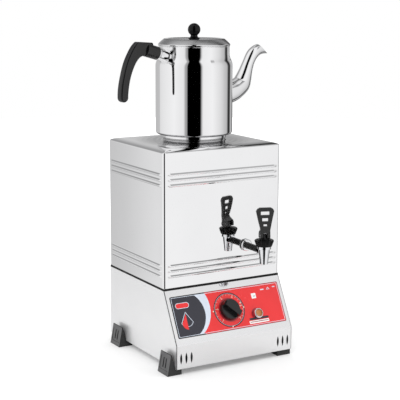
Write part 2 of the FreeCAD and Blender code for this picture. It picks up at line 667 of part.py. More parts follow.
def base_housing():
    sides = padded("base_sides", "YZ_Plane", "tank_width",
                   [("-front_y", "foot_clear"), ("half_depth", "foot_clear"), ("half_depth", "base_top"),
                    ("-half_depth", "base_top"), ("-front_y", "fold_z")])
    front_lip = "-half_depth + slope_skin + lip_gap"
    hollow = padded("base_hollow", "YZ_Plane", "tank_width - 2 * sheet_thk",
                    [("-front_y - flange_wide", "foot_clear + sheet_thk"),
                     ("half_depth - sheet_thk", "foot_clear + sheet_thk"),
                     ("half_depth - sheet_thk", "base_top - sheet_thk"), (front_lip, "base_top - sheet_thk"),
                     (front_lip, "base_top + sheet_thk"), ("-front_y - flange_wide", "base_top + sheet_thk")])
    window = box("base_window", "tank_width - 2 * flange_wide", "tank_depth - 2 * flange_wide", "tank_height")
    notch = box("base_notch", "tank_width - 2 * sheet_thk", "3 * flange_wide", "foot_clear + sheet_thk",
                y="-front_y - flange_wide / 2 + 2 * sheet_thk")
    well = box("base_well", "tank_width - 2 * flange_wide", "2 * flange_wide + slope_run",
               "foot_clear + sheet_thk",
               y="-half_depth - slope_run / 2 + flange_wide")
    cord = rod("gland_hole", "gland_radius + fit_play", "4 * sheet_thk", "gland_across",
               "half_depth - 2 * sheet_thk",
               "foot_clear + gland_high", "Y")
    holes = corner_rods("housing_hole", "screw_radius + fit_play", "2 * sheet_thk", "screw_in",
                        "base_top - sheet_thk")
    holes += foot_rods("housing_foot_hole", "screw_radius + fit_play", "2 * sheet_thk", "foot_clear")
    cut("base_housing", sides, hollow, window, notch, well, cord, *holes)


def slope_rod(name, radius, across, down):
    """A hole right through the sloped panel."""
    return on_slope(rod(name, radius, "20 * sheet_thk"), across, down, "-10 * sheet_thk")


def front_panel():
    sheet_metal = padded("panel_sheet", "YZ_Plane", "tank_width - 2 * sheet_thk - 2 * panel_gap",
                         [("-front_y", "foot_clear"), ("-front_y + flange_wide", "foot_clear"),
                          ("-front_y + flange_wide", "foot_clear + sheet_thk"),
                          ("-front_y + sheet_thk", "foot_clear + sheet_thk"),
                          ("-front_y + sheet_thk", "inner_fold"),
                          ("-half_depth + slope_skin", "base_top"), ("-half_depth", "base_top"),
                          ("-front_y", "fold_z")])
    slots = []
    for side in (-1, 1):
        for i in range(3):
            slot = padded("vent_%d_%d" % (side + 1, i), "XZ_Plane", "4 * sheet_thk",
                          [(0, "-vent_tall / 2", "vent_arc", 1), (0, "vent_tall / 2", "vent_arc", 1)])
            slots.append(place(slot, "%d * (half_width - vent_edge - %d * vent_pitch)" % (side, i),
                               "-front_y",
                               "foot_clear + vent_mid"))
    cut("front_panel", sheet_metal, *slots,
        slope_rod("panel_bush_hole", "bush_radius + fit_play", 0, "dial_down"),
        slope_rod("panel_lamp_hole", "lamp_neck + fit_play", "lamp_across", "lamp_down"),
        slope_rod("panel_screw_hole", "0.2 * tab_radius + fit_play", "-pot_across", "0.55 * tab_radius"))


def base_floor():
    plate = box("base_plate", "tank_width - 4 * sheet_thk", "tank_depth + slope_run - 4 * sheet_thk",
                "sheet_thk",
                y="-slope_run / 2", z="foot_clear + sheet_thk")
    holes = foot_rods("base_plate_hole", "screw_radius + fit_play", "sheet_thk", "foot_clear + sheet_thk")
    for i in range(5):
        for j in range(3):
            holes.append(rod("air_hole_%d_%d" % (i, j), "floor_hole", "sheet_thk",
                             "%d * floor_hole_pitch" % (i - 2),
                             "-slope_run / 2 + %d * floor_hole_pitch" % (j - 1),
                             "foot_clear + sheet_thk"))
    cut("base_floor", plate, *holes)


def front_label():
    film = doc.addObject("Part::Box", "label_film")
    link(film, "Length", "label_wide")
    link(film, "Width", "label_tall")
    link(film, "Height", "label_thk")
    on_slope(film, "-label_wide / 2", "label_top + label_tall")
    cut("front_label", film,
        slope_rod("label_bush_hole", "bush_radius + fit_play", 0, "dial_down"),
        slope_rod("label_lamp_hole", "lamp_neck + fit_play", "lamp_across", "lamp_down"))


def tank_tab():
    disc = rod("tab_disc", "tab_radius", "tab_thk")
    above = box("tab_above", "3 * tab_radius", "2 * tab_radius", "2 * tab_thk", y="tab_radius")
    hole = rod("tab_hole", "0.2 * tab_radius + fit_play", "tab_thk", 0, "-0.55 * tab_radius")
    on_slope(cut("tank_tab", disc, above, hole), "-pot_across", 0, 0)
    screw = spun("panel_screw",
                 (0, "-4 * sheet_thk"), ("0.2 * tab_radius", "-4 * sheet_thk"),
                 ("0.2 * tab_radius", "tab_thk"),
                 ("0.36 * tab_radius", "tab_thk"), ("0.36 * tab_radius", "1.8 * tab_thk", "tab_radius", 1),
                 ("0.05 * tab_radius", "2.2 * tab_thk"), (0, "2.2 * tab_thk"))
    on_slope(screw, "-pot_across", "0.55 * tab_radius", 0)


def lamp():
    bezel = spun("lamp_bezel",
                 (0, "-2 * lamp_neck"), ("lamp_neck", "-2 * lamp_neck"), ("lamp_neck", "label_thk"),
                 ("lamp_radius", "label_thk"), ("lamp_radius", "0.7 * lamp_out", "0.3 * lamp_out", 1),
                 ("lamp_radius - 0.18 * lamp_out", "lamp_out"), ("lens_radius + fit_play", "lamp_out"),
                 ("lens_radius + fit_play", "0.3 * lamp_out"), (0, "0.3 * lamp_out"))
    on_slope(bezel, "lamp_across", "lamp_down")
    lens = spun("lamp_lens",
                (0, "0.3 * lamp_out"), ("lens_radius", "0.3 * lamp_out"),
                ("lens_radius", "0.68 * lamp_out", "2.4 * lens_radius", 1),
                ("0.1 * lens_radius", "0.86 * lamp_out"), (0, "0.86 * lamp_out"))
    on_slope(lens, "lamp_across", "lamp_down")
    nut = cut("lamp_nut", hexagon("lamp_hex", "1.6 * lamp_neck", "4"),
              rod("lamp_nut_hole", "lamp_neck + fit_play", "4"))
    on_slope(nut, "lamp_across", "lamp_down", "-sheet_thk - 4")


def thermostat():
    case = box("stat_case", "stat_wide", "stat_tall", "stat_deep", z="-sheet_thk - stat_deep")
    bush = rod("stat_bush", "bush_radius", "2 * sheet_thk + label_thk", z="-2 * sheet_thk")
    bore = rod("stat_bore", "spindle_radius + spindle_play", "stat_deep",
               z="-stat_deep + 4 * sheet_thk + label_thk")
    on_slope(cut("thermostat_body", fuse("stat_solid", case, bush), bore), 0, "dial_down")
    foot = "label_thk + knob_gap"
    on_slope(rod("thermostat_spindle", "spindle_radius", "14 + %s + 0.7 * knob_skirt" % foot), 0,
             "dial_down", -14)
    skirt = spun("knob_skirt_turned",
                 (0, 0), ("knob_radius", 0), ("knob_radius", "0.35 * knob_skirt"),
                 ("0.95 * knob_radius", "0.8 * knob_skirt", "0.3 * knob_skirt", 1),
                 ("0.9 * knob_radius", "knob_skirt"), (0, "knob_skirt"))
    bar = box("knob_bar", "2 * knob_radius", "grip_wide", "knob_height")
    round_end = spun("knob_bar_ends",
                     (0, 0), ("0.97 * knob_radius", 0), ("0.97 * knob_radius", "0.8 * knob_height"),
                     ("0.86 * knob_radius", "knob_height"), (0, "knob_height"))
    grip = turned(common("knob_grip", bar, round_end), Z_AXIS, "grip_angle")
    bore = rod("knob_bore", "spindle_radius", "0.7 * knob_skirt")
    on_slope(cut("thermostat_knob", fuse("knob_solid", skirt, grip), bore), 0, "dial_down", foot)


# Feet

FRONT_FOOT = "-front_y + foot_inset + foot_long / 2"
REAR_FOOT = "half_depth - foot_rear_inset - foot_long / 2"


def foot_rods(name, radius, length, z):
    """Four upright bars where the feet are screwed on."""
    rods = []
    corners = (("-", FRONT_FOOT), ("", FRONT_FOOT), ("", REAR_FOOT), ("-", REAR_FOOT))
    for i, (side, along) in enumerate(corners):
        rods.append(rod("%s_%d" % (name, i), radius, length, "%s(half_width - screw_in)" % side, along, z))
    return rods


def wedge_foot(name, middle):
    """A left foot: its pad lies under the base and its ridge stands beside it."""
    lean = "(foot_out - foot_peak_out - 1) / foot_tall"
    block = padded(name + "_block", "XZ_Plane", "foot_long",
                   [("-half_width - foot_out", 0), ("-half_width + foot_pad_left", 0),
                    ("-half_width + foot_pad_left", "foot_clear"), ("-half_width - 0.3", "foot_clear"),
                    ("-half_width - foot_peak_out + 1", "foot_tall"),
                    ("-half_width - foot_peak_out - 1", "foot_tall")])
    low, high = "0.2 * foot_tall", "0.82 * foot_tall"
    field = padded(name + "_field", "XZ_Plane", "foot_long - 8",
                   [("-half_width - foot_out - 2", low),
                    ("-half_width - foot_out + foot_relief + %s * %s" % (lean, low), low),
                    ("-half_width - foot_out + foot_relief + %s * %s" % (lean, high), high),
                    ("-half_width - foot_out - 2", high)])
    hole = rod(name + "_hole", "screw_radius + fit_play", "foot_clear - 2", "screw_in - half_width", 0, 2)
    place(cut(name, block, field, hole), 0, middle, 0)


def flat_foot(name, middle):
    """A right foot: a plain pad under the base, flush with its side."""
    block = box(name + "_block", "foot_pad_right", "foot_long", "foot_clear",
                x="half_width - foot_pad_right / 2")
    hole = rod(name + "_hole", "screw_radius + fit_play", "foot_clear - 2", "half_width - screw_in", 0, 2)
    place(cut(name, block, hole), 0, middle, 0)


def feet():
    wedge_foot("foot_front_left", FRONT_FOOT)
    wedge_foot("foot_rear_left", REAR_FOOT)
    flat_foot("foot_front_right", FRONT_FOOT)
    flat_foot("foot_rear_right", REAR_FOOT)
    heads = foot_rods("foot_screw_head", "head_radius", "head_thk", "foot_clear + 2 * sheet_thk")
    shafts = foot_rods("foot_screw_shaft", "screw_radius", "foot_clear + 2 * sheet_thk - 3", 3)
    fuse("foot_screws", *heads, *shafts)


# Tap

def at_tap(thing, high="0"):
    """Stands a piece on the tap's upright axis, measured from the barrel's axis."""
    return place(thing, "tap_across", "-tap_y", "tap_z + %s" % high)


def at_wall(thing, ahead):
    """Stands a piece on the barrel's axis, measured forward from the tank wall."""
    return place(thing, "tap_across", "-half_depth - (%s)" % ahead, "tap_z")


def tap_wall_side():
    hole = "barrel_radius + fit_play"
    at_wall(tube("tap_barrel", "barrel_radius", "barrel_bore", "tap_reach - chamber_radius + barrel_inside",
                 along="Y"), "tap_reach - chamber_radius")
    flange = spun("tap_flange",
                  (hole, 0), ("0.72 * flange_radius", 0, "0.9 * flange_thk", 1),
                  ("flange_radius", "0.7 * flange_thk"), ("flange_radius", "flange_thk"),
                  (hole, "flange_thk"))
    at_wall(turned(flange, X_AXIS, -90), "washer_thk + flange_thk")
    at_wall(tube("tap_washer", "washer_radius", hole, "washer_thk", along="Y"), "washer_thk")
    at_wall(tube("tap_inner_washer", "washer_radius", hole, "washer_thk", along="Y"), "-sheet_thk")
    nut = cut("tap_locknut", hexagon("locknut_hex", "locknut_radius", "locknut_thk", along="Y"),
              rod("locknut_hole", hole, "locknut_thk", along="Y"))
    at_wall(nut, "-sheet_thk - washer_thk")


def tap_body():
    turned_body = spun("tap_turned",
                       (0, "-outlet_drop"), ("outlet_radius", "-outlet_drop"),
                       ("outlet_radius + 1.1", "-0.59 * outlet_drop"), ("cone_radius", "cone_top"),
                       ("ring_radius", "cone_top"), ("ring_radius", "ring_top"), ("neck_radius", "ring_top"),
                       ("neck_radius", "ring_top + neck_height"), (0, "ring_top + neck_height"))
    boss = rod("tap_boss", "barrel_radius + 2.2", "ring_radius + 1.4", along="Y")
    at_tap(cut("tap_body", fuse("tap_solid", turned_body, boss),
               rod("tap_chamber", "chamber_radius", "seat_low + ring_top + neck_height", z="-seat_low"),
               rod("tap_outlet", "outlet_bore", "outlet_drop", z="-outlet_drop"),
               rod("tap_inlet", "barrel_radius + fit_play", "ring_radius + 2", along="Y")))


def tap_bonnet():
    turned_cap = spun("tap_bonnet",
                      ("stem_radius + fit_play", "spring_top"), ("neck_radius + fit_play", "spring_top"),
                      ("neck_radius + fit_play", "ring_top"), ("cap_low_radius", "ring_top"),
                      ("cap_radius", "ring_top + 0.78 * cap_height", "0.2 * cap_height", 1),
                      ("cap_radius - 0.15 * cap_height", "cap_top"), ("stem_radius + fit_play", "cap_top"))
    plane = [p for p in turned_cap.Origin.OriginFeatures if p.Role == "XY_Plane"][0]
    flute = turned_cap.newObject("Sketcher::SketchObject", "flute_sketch")
    flute.AttachmentSupport = [(plane, "")]
    flute.MapMode = "FlatFace"
    centre = value("cap_radius - 0.2 * flute_radius")
    circle = Part.Circle(FreeCAD.Vector(centre, 0, 0), Z_AXIS, value("flute_radius"))
    flute.addGeometry(circle, False)
    k = flute.addConstraint(Sketcher.Constraint("Radius", 0, value("flute_radius")))
    link(flute, "Constraints[%d]" % k, "flute_radius")
    k = flute.addConstraint(Sketcher.Constraint("DistanceX", -1, 1, 0, 3, centre))
    link(flute, "Constraints[%d]" % k, "cap_radius - 0.2 * flute_radius")
    flute.addConstraint(Sketcher.Constraint("PointOnObject", 0, 3, -1))
    pocket = turned_cap.newObject("PartDesign::Pocket", "flute_pocket")
    pocket.Profile = flute
    pocket.Type = "ThroughAll"
    pocket.Midplane = True
    round_cap = turned_cap.newObject("PartDesign::PolarPattern", "flutes")
    round_cap.Originals = [pocket]
    round_cap.Axis = (flute, ["N_Axis"])
    round_cap.Angle = 360
    link(round_cap, "Occurrences", "flute_count")
    turned_cap.Tip = round_cap
    at_tap(turned_cap)


def valve():
    at_tap(tube("lever_washer", "glide_radius", "glide_bore", "glide_thk", z=0), "cap_top + fit_play")
    cup = cut("seat_cup", rod("cup_solid", "seat_radius", "seat_thk", z="seat_gap - seat_low"),
              rod("cup_bore", "0.6 * stem_radius + fit_play", "0.7 * seat_thk",
                  z="seat_top - 0.7 * seat_thk"))
    at_tap(cup)
    rod_turned = spun("stem_turned",
                      (0, "seat_top - 0.6 * seat_thk"), ("0.6 * stem_radius", "seat_top - 0.6 * seat_thk"),
                      ("0.6 * stem_radius", "seat_top"), ("stem_radius", "seat_top"),
                      ("stem_radius", "pin_high + stem_radius - 0.6"), (0, "pin_high + stem_radius - 0.6"))
    flats = [box("stem_flat_%d" % (side + 1), "stem_radius", "4 * stem_radius", "2 * pin_high",
                 x="%d * (stem_eye / 2 + stem_radius / 2)" % side, z="cap_top + fit_play + glide_thk")
             for side in (-1, 1)]
    eye = rod("stem_eye_hole", "pin_radius + fit_play", "4 * stem_radius", "-2 * stem_radius", 0, "pin_high",
              "X")
    at_tap(turned(cut("valve_stem", rod_turned, *flats, eye), Z_AXIS, "-lever_turn"))
    wire, coil = value("spring_wire"), value("spring_radius")
    tall = value("spring_tall") - 2 * wire - 0.1
    pitch = tall / value("spring_turns")
    path = Part.makeHelix(pitch, tall, coil)
    ahead = FreeCAD.Vector(0, 2 * math.pi * coil, pitch).normalize()
    beside = ahead.cross(X_AXIS)
    ring = [FreeCAD.Vector(coil, 0, 0) + X_AXIS * (wire * math.cos(turn)) + beside * (wire * math.sin(turn))
            for turn in (math.radians(45 * step) for step in range(9))]
    helix = path.makePipeShell([Part.makePolygon(ring)], True, True)
    helix.translate(FreeCAD.Vector(value("tap_across"), -value("tap_y"),
                                   value("tap_z + seat_top") + wire + 0.05))
    shape_of("valve_spring", helix)


def lever():
    def behind(ahead):
        return "-(%s)" % ahead
    blade = padded("lever_side", "YZ_Plane", "2 * lever_wide",
                   [(behind("cam_ahead"), "-0.7 * cam_radius"), (behind("1.35 * cam_radius"), 0),
                    (behind("1.42 * cam_radius"), "0.16 * lever_top"),
                    (behind("1.55 * cam_radius"), "0.27 * lever_top", "2.3 * lever_top", 1),
                    (behind("1.03 * cam_radius"), "lever_top"),
                    (behind("1.03 * cam_radius - lever_thk"), "lever_top",
                                                                "2.2 * lever_top", -1),
                    (behind("1.55 * cam_radius - lever_thk"), "0.29 * lever_top"),
                    (behind("0.2 * cam_radius"), "0.2 * lever_top"), ("0.7 * cam_radius", "0.12 * lever_top"),
                    ("0.92 * cam_radius", "0.05 * lever_top"), ("0.92 * cam_radius", "-0.6 * cam_radius")])
    heel = rod("lever_heel", "cam_radius", "2 * lever_wide", "-lever_wide", behind("cam_ahead"), 0, "X")
    corners = [("fork_wide / 2", "-1.2 * cam_radius"), ("fork_wide / 2", "0.12 * lever_top"),
               ("lever_waist / 2", "0.23 * lever_top"), ("lever_wide / 2", "0.87 * lever_top"),
               ("lever_wide / 2 - 0.04 * lever_top", "0.95 * lever_top"),
               ("lever_wide / 2 - 0.12 * lever_top", "lever_top")]
    front = padded("lever_front", "XZ_Plane", "2 * lever_wide",
                   corners + [("-(%s)" % across, up) for across, up in corners[::-1]])
    windows = [box("lever_window_%d" % i, wide, "2 * lever_wide", tall, z=low) for i,
               (wide, tall, low) in enumerate((
        ("0.49 * lever_wide", "0.125 * lever_top", "0.738 * lever_top"),
        ("0.34 * lever_wide", "0.11 * lever_top", "0.522 * lever_top"),
        ("0.21 * lever_wide", "0.066 * lever_top", "0.355 * lever_top")))]
    fork = box("lever_fork", "fork_gap", "2 * lever_wide", "2.2 * cam_radius", z="-1.25 * cam_radius")
    hole = rod("lever_pin_hole", "pin_radius", "2 * lever_wide", "-lever_wide", 0, 0, "X")
    blank = common("lever_blank", fuse("lever_profile", blade, heel), front)
    at_tap(turned(cut("tap_lever", blank, fork, hole, *windows), Z_AXIS, "-lever_turn"), "pin_high")
    pin = cut("lever_pin", rod("pin_bar", "pin_radius", "fork_wide - 0.6", "0.3 - fork_wide / 2", 0, 0, "X"),
              rod("pin_dimple", "0.4 * pin_radius", "0.5", "fork_wide / 2 - 0.8", 0, 0, "X"))
    at_tap(turned(pin, Z_AXIS, "-lever_turn"), "pin_high")


# Teapot. Its own axis is upright through (0, 0), its heights start at the collar's rim,
# its spout points along +X and its handle along -X before it is turned.

def at_pot(thing):
    """Stands a piece of the teapot in the collar."""
    turned(thing, Z_AXIS, "pot_turn")
    return place(thing, "pot_across", "-pot_forward", "collar_top")


def pot_outline(skin):
    """Half of the teapot's outline, at a depth below its outer skin, from the base up to the neck."""
    arc = "((pot_radius - pot_neck) ^ 2 + (shoulder_high - shoulder_low) ^ 2) / (4 * (pot_radius - pot_neck))"
    return [("plug_radius - %s" % skin, "-plug_deep + %s" % skin),
            ("plug_radius - %s" % skin, "step_gap + %s" % skin),
            ("step_radius - %s" % skin, "step_gap + %s" % skin),
            ("step_radius - %s" % skin, "step_tall + %s" % skin),
            ("pot_radius - heel_radius", "step_tall + 1 + %s" % skin, "heel_radius - %s" % skin, 1),
            ("pot_radius - %s" % skin, "step_tall + 1 + heel_radius"),
            ("pot_radius - %s" % skin, "shoulder_low", "%s - %s" % (arc, skin), 1),
            ("(pot_radius + pot_neck) / 2 - %s" % skin, "(shoulder_low + shoulder_high) / 2",
             "%s + %s" % (arc, skin),
             -1),
            ("pot_neck - %s" % skin, "shoulder_high")]


def handle_rod(name, radius, length, start):
    """A round bar on the handle's bolt axis, from a distance outside the neck."""
    bar = turned(rod(name, radius, length), Y_AXIS, "handle_tilt - 90")
    return place(bar, "-pot_neck - (%s) * cos(handle_tilt)" % start, 0,
                 "handle_high + (%s) * sin(handle_tilt)" % start)


def pot_body():
    outer = pot_outline("0")
    inner = pot_outline("pot_wall")[::-1]
    flipped = [(spot[0], spot[1]) for spot in inner]
    for i, spot in enumerate(inner):
        if len(spot) == 4:
            flipped[i - 1] = flipped[i - 1][:2] + (spot[2], -spot[3])
    rim = [("pot_neck", "pot_tall - 2.4 * rim_bead"), ("pot_neck + rim_bead", "pot_tall - 1.6 * rim_bead"),
           ("pot_neck + rim_bead", "pot_tall - 0.6 * rim_bead"), ("pot_neck + 0.3 * rim_bead", "pot_tall"),
           ("pot_neck - pot_wall", "pot_tall")]
    shell = spun("pot_turned", (0, "-plug_deep"), *outer, *rim, *flipped, (0, "-plug_deep + pot_wall"))
    outlet = turned(rod("spout_opening", "spout_root - spout_wall - 1", "pot_radius"), Y_AXIS, 90)
    place(outlet, 10, 0, "spout_high")
    at_pot(cut("pot_body", shell, outlet, handle_rod("pot_bolt_hole", "2.5 + fit_play", 20, -10)))
    plug = spun("pot_solid", (0, "-plug_deep"), *outer, ("pot_neck", "pot_tall - 3"), (0, "pot_tall - 3"))
    return plug


def tube_along(name, spots, thinner):
    """A tapering round bar through spots of (out, up, radius), less a wall."""
    rings = []
    for i, (out, up, radius) in enumerate(spots):
        before, after = spots[max(i - 1, 0)], spots[min(i + 1, len(spots) - 1)]
        way = FreeCAD.Vector(after[0] - before[0], 0, after[1] - before[1])
        rings.append(Part.Wire(Part.Circle(FreeCAD.Vector(out, 0, up), way, radius - thinner).toShape()))
    return shape_of(name, Part.makeLoft(rings, True, False))


def spout(pot_solid):
    body, high, root = value("pot_radius"), value("spout_high"), value("spout_root")
    offsets = [(-16, -3.2, 0.96), (-2, -0.6, 0.97), (12, 2, 0.98), (25, 5.6, 0.97), (36, 10.8, 0.94),
               (47, 18.1, 0.88), (53.3, 29.2, 0.77), (57.9, 40, 0.665), (62, 49.9, 0.595), (66.8, 60, 0.55),
               (71.9, 68.9, 0.55), (77.5, 75.6, 0.56), (84.5, 80.6, 0.55), (92.3, 83.8, 0.525),
               (101, 85.4, 0.505),
               (110, 85.8, 0.5), (120, 85.6, 0.5)]
    scale = value("spout_reach") / 120
    outer = [(body + out * scale, high + up * scale, root * share) for out, up, share in offsets]
    longer = [(outer[0][0] - 4, outer[0][1] - 1, outer[0][2])] + outer[1:-1]
    longer += [(outer[-1][0] + 4, outer[-1][1] - 0.6, outer[-1][2])]
    tip = turned(rod("spout_tip_cut", "spout_mouth", "4 * spout_root"), X_AXIS, 90)
    place(tip, "pot_radius + 1.057 * spout_reach", "2 * spout_root", "spout_high + 0.994 * spout_reach")
    trimmed = cut("pot_spout", tube_along("spout_skin", outer, 0),
                  tube_along("spout_bore", longer, value("spout_wall")),
                  tip, pot_solid)
    at_pot(trimmed)


def spout_strainer():
    """A curved sieve that lies against the teapot's wall behind the spout."""
    disc = turned(rod("strainer_disc", "spout_root - spout_wall", "pot_radius"), Y_AXIS, 90)
    holes = []
    for count, ring in ((1, 0), (6, 5.2), (12, 10.4)):
        for i in range(count):
            angle = 2 * math.pi * i / count
            hole = turned(rod("strainer_hole_%d_%d" % (count, i), "strainer_hole", "pot_radius"), Y_AXIS, 90)
            holes.append(place(hole, 0, ring * math.cos(angle), "spout_high + %g" % (ring * math.sin(angle))))
    skin = tube("strainer_skin", "pot_radius - pot_wall", "pot_radius - 2 * pot_wall", "4 * spout_root",
                z="spout_high - 2 * spout_root")
    plate = common("strainer_plate", skin, place(disc, 0, 0, "spout_high"))
    at_pot(cut("spout_strainer", plate, *holes))


def handle_spot(out):
    """Where the handle's bolt axis is at a distance outside the neck."""
    tilt = math.radians(value("handle_tilt"))
    return -value("pot_neck") - out * math.cos(tilt), value("handle_high") + out * math.sin(tilt)


def handle(pot_solid):
    shaft_hole = "2.5 + fit_play"
    oval = padded("plate_oval", "XY_Plane", "20",
                  [("(plate_wide - plate_tall) / 2", "-plate_wide / 2"),
                   ("(plate_tall - plate_wide) / 2", "-plate_wide / 2", "0.505 * plate_wide", 1),
                   ("(plate_tall - plate_wide) / 2", "plate_wide / 2"),
                   ("(plate_wide - plate_tall) / 2", "plate_wide / 2", "0.505 * plate_wide", 1)])
    turned(oval, Y_AXIS, "handle_tilt - 90")
    place(oval, "plate_seat * cos(handle_tilt) - pot_neck", 0, "handle_high - plate_seat * sin(handle_tilt)")
    at_pot(cut("handle_plate", oval, pot_solid, handle_rod("plate_hole", shaft_hole, 30, -12)))
    ferrule = spun("ferrule_turned",
                   (0, 2.6), ("ferrule_radius", 2.6), ("ferrule_radius", "ferrule_end - pot_neck - 4"),
                   ("ferrule_radius + 0.8", "ferrule_end - pot_neck - 2.4"),
                   ("ferrule_radius + 0.8", "ferrule_end - pot_neck"), (0, "ferrule_end - pot_neck"))
    turned(ferrule, Y_AXIS, "handle_tilt - 90")
    place(ferrule, "-pot_neck", 0, "handle_high")
    at_pot(cut("handle_ferrule", ferrule, pot_solid, handle_rod("ferrule_hole", shaft_hole, 40, -4)))
    grip(shaft_hole)
    head = handle_rod("bolt_head", 5, 2.4, "-pot_wall - 4")
    collar = handle_rod("bolt_collar", 3.2, 2.4, "-pot_wall - 2")
    shaft = handle_rod("bolt_shaft", 2.5, "boss_out - pot_neck + 2", "-pot_wall - 4")
    inside = rod("bolt_room", "pot_neck - pot_wall - 0.3", "2 * pot_radius")
    spacer = common("bolt_spacer", collar, inside)
    at_pot(fuse("handle_screw", head, spacer, shaft))


def grip(shaft_hole):
    """The black moulded handle: a boss, a flat-topped head and a grip that curves down."""
    top, thick, scale = value("grip_top"), value("grip_thk"), value("grip_drop") / 92.4
    boss_x, boss_z = handle_spot(value("boss_out - pot_neck"))
    start = handle_spot(value("ferrule_end - pot_neck"))
    way = FreeCAD.Vector(boss_x - start[0], 0, boss_z - start[1])
    boss = Part.makeCylinder(value("handle_boss"), way.Length, FreeCAD.Vector(start[0], 0, start[1]), way)

    def spots(*pairs):
        return [FreeCAD.Vector(boss_x + x * scale, 0, boss_z + z * scale) for x, z in pairs]
    outer = spots((-29.6, 5.5), (-37.2, -5.6), (-43.8, -17.6), (-49, -30.6), (-53.4, -45.4), (-56.8, -60),
                  (-58.8, -74.6), (-59, -85))
    inner = spots((-41.8, -85), (-41, -73), (-38.6, -59), (-34.6, -45), (-29, -32), (-22.2, -21),
                  (-14.4, -13.6),
                  (-6, -10.6), (4, -9.8))
    back = FreeCAD.Vector(boss_x - 19.6 * scale, 0, top)
    ahead = FreeCAD.Vector(start[0] - 11.4, 0, top - 2.4)
    under = FreeCAD.Vector(ahead.x, 0, inner[-1].z)
    outside, inside = Part.BSplineCurve(), Part.BSplineCurve()
    outside.interpolate([back] + outer)
    inside.interpolate(inner)
    end = Part.Arc(outer[-1], spots((-50.4, -92.4))[0], inner[0])
    sides = [Part.LineSegment(*pair) for pair in ((inner[-1], under), (under, ahead), (ahead, back))]
    wire = Part.Wire([side.toShape() for side in sides + [outside, end, inside]])
    slab = Part.Face(wire).extrude(FreeCAD.Vector(0, thick, 0))
    slab.translate(FreeCAD.Vector(0, -thick / 2, 0))
    tops = [edge for edge in slab.Edges if edge.BoundBox.ZMin > boss_z + 5 and edge.BoundBox.XLength < 0.01]
    eased = slab.makeFillet(0.2 * thick, tops)
    long_edges = [edge for edge in eased.Edges if edge.BoundBox.YLength < 0.01]
    moulding = shape_of("grip_moulding", eased.makeFillet(0.3 * thick, long_edges).fuse(boss))
    hole = handle_rod("grip_bolt_hole", shaft_hole, "boss_out - pot_neck + 4", "ferrule_end - pot_neck - 4")
    at_pot(cut("handle_grip", moulding, hole))


def pot_lid():
    crest = "lid_low + lid_rise"
    shell = spun("pot_lid",
                 ("lid_skirt_radius - pot_wall", "lid_low - lid_skirt"),
                 ("lid_skirt_radius", "lid_low - lid_skirt"),
                 ("lid_skirt_radius", "lid_low"), ("lid_radius", "lid_low"),
                 ("lid_radius", "lid_low + lid_lip", "2 * lid_rise", 1),
                 ("lid_ring + 3", "%s - 1" % crest, "5.4", 1), ("lid_ring - 3", "%s - 0.9" % crest),
                 ("lid_ring - 5.6", "lid_top + 0.4"), ("lid_ring - 7.6", "lid_top"),
                 ("lid_bolt + fit_play", "lid_top"), ("lid_bolt + fit_play", "lid_top - pot_wall"),
                 ("lid_ring - 7.4", "lid_top - pot_wall"), ("lid_ring - 4.9", "lid_top - 0.5 * pot_wall"),
                 ("lid_ring - 2.5", "%s - 0.9 - pot_wall" % crest, "4.4", -1),
                 ("lid_ring + 2.4", "%s - 1 - pot_wall" % crest, "2 * lid_rise - pot_wall", -1),
                 ("lid_skirt_radius - pot_wall", "lid_low + 0.4 * lid_rise"))
    at_pot(shell)
    ball = spun("lid_knob_turned",
                (0, "lid_top"), ("0.8 * ball_foot", "lid_top"), ("ball_foot", "lid_top + 0.2 * ball_foot"),
                ("ball_foot", "lid_top + 0.3 * ball_foot", "0.5 * ball_foot", -1),
                ("ball_neck", "lid_top + 0.6 * ball_foot"),
                ("ball_neck", "lid_top + ball_high - sqrt(ball_radius ^ 2 - ball_neck ^ 2)", "ball_radius",
                 1),
                ("0.05 * ball_radius", "lid_top + ball_high + 0.99875 * ball_radius"),
                (0, "lid_top + ball_high + 0.99875 * ball_radius"))
    at_pot(cut("lid_knob", ball, rod("lid_knob_bore", "lid_bolt + fit_play", "ball_high", z="lid_top")))
    nut = spun("lid_nut",
               (0, "lid_top - pot_wall - 3"), (5, "lid_top - pot_wall - 3"), (5, "lid_top - pot_wall"),
               ("lid_bolt", "lid_top - pot_wall"), ("lid_bolt", "lid_top + ball_high - 1"),
               (0, "lid_top + ball_high - 1"))
    at_pot(nut)


tank_shell()
tank_top()
tank_floor()
seam_gasket()
tank_screws()
heating_element()
sensors()
wiring()
base_housing()
front_panel()
base_floor()
front_label()
tank_tab()
lamp()
thermostat()
feet()
tap_wall_side()
tap_body()
tap_bonnet()
valve()
lever()
POT_SOLID = pot_body()
spout(POT_SOLID)
spout_strainer()
handle(POT_SOLID)
pot_lid()
doc.recompute()

# The pieces that are handed over, each as its own file.
PIECES = """
tank_shell tank_top tank_floor seam_gasket tank_screws
heating_element element_washers element_nuts thermowell capillary limit_thermostat
terminal_block earth_stud cable_gland heater_wires
base_housing front_panel base_floor front_label tank_tab panel_screw
lamp_bezel lamp_lens lamp_nut thermostat_body thermostat_spindle thermostat_knob
foot_front_left foot_front_right foot_rear_left foot_rear_right foot_screws
tap_barrel tap_flange tap_washer tap_inner_washer tap_locknut tap_body tap_bonnet
lever_washer valve_stem seat_cup valve_spring tap_lever lever_pin
pot_body pot_spout spout_strainer handle_plate handle_ferrule handle_grip handle_screw
pot_lid lid_knob lid_nut
""".split()

broken = [thing.Label for thing in doc.Objects if "Invalid" in thing.State or "Error" in thing.State]
if broken:
    raise RuntimeError("did not compute: " + ", ".join(broken))

os.makedirs("parts", exist_ok=True)
for word in PIECES:
    piece = doc.getObjectsByLabel(word)[0]
    if piece.Shape.isNull() or not piece.Shape.isValid() or piece.Shape.Volume <= 0:
        raise RuntimeError("%s has no sound shape" % word)
    piece.Shape.exportStep("parts/%s.step" % word)
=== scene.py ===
import math

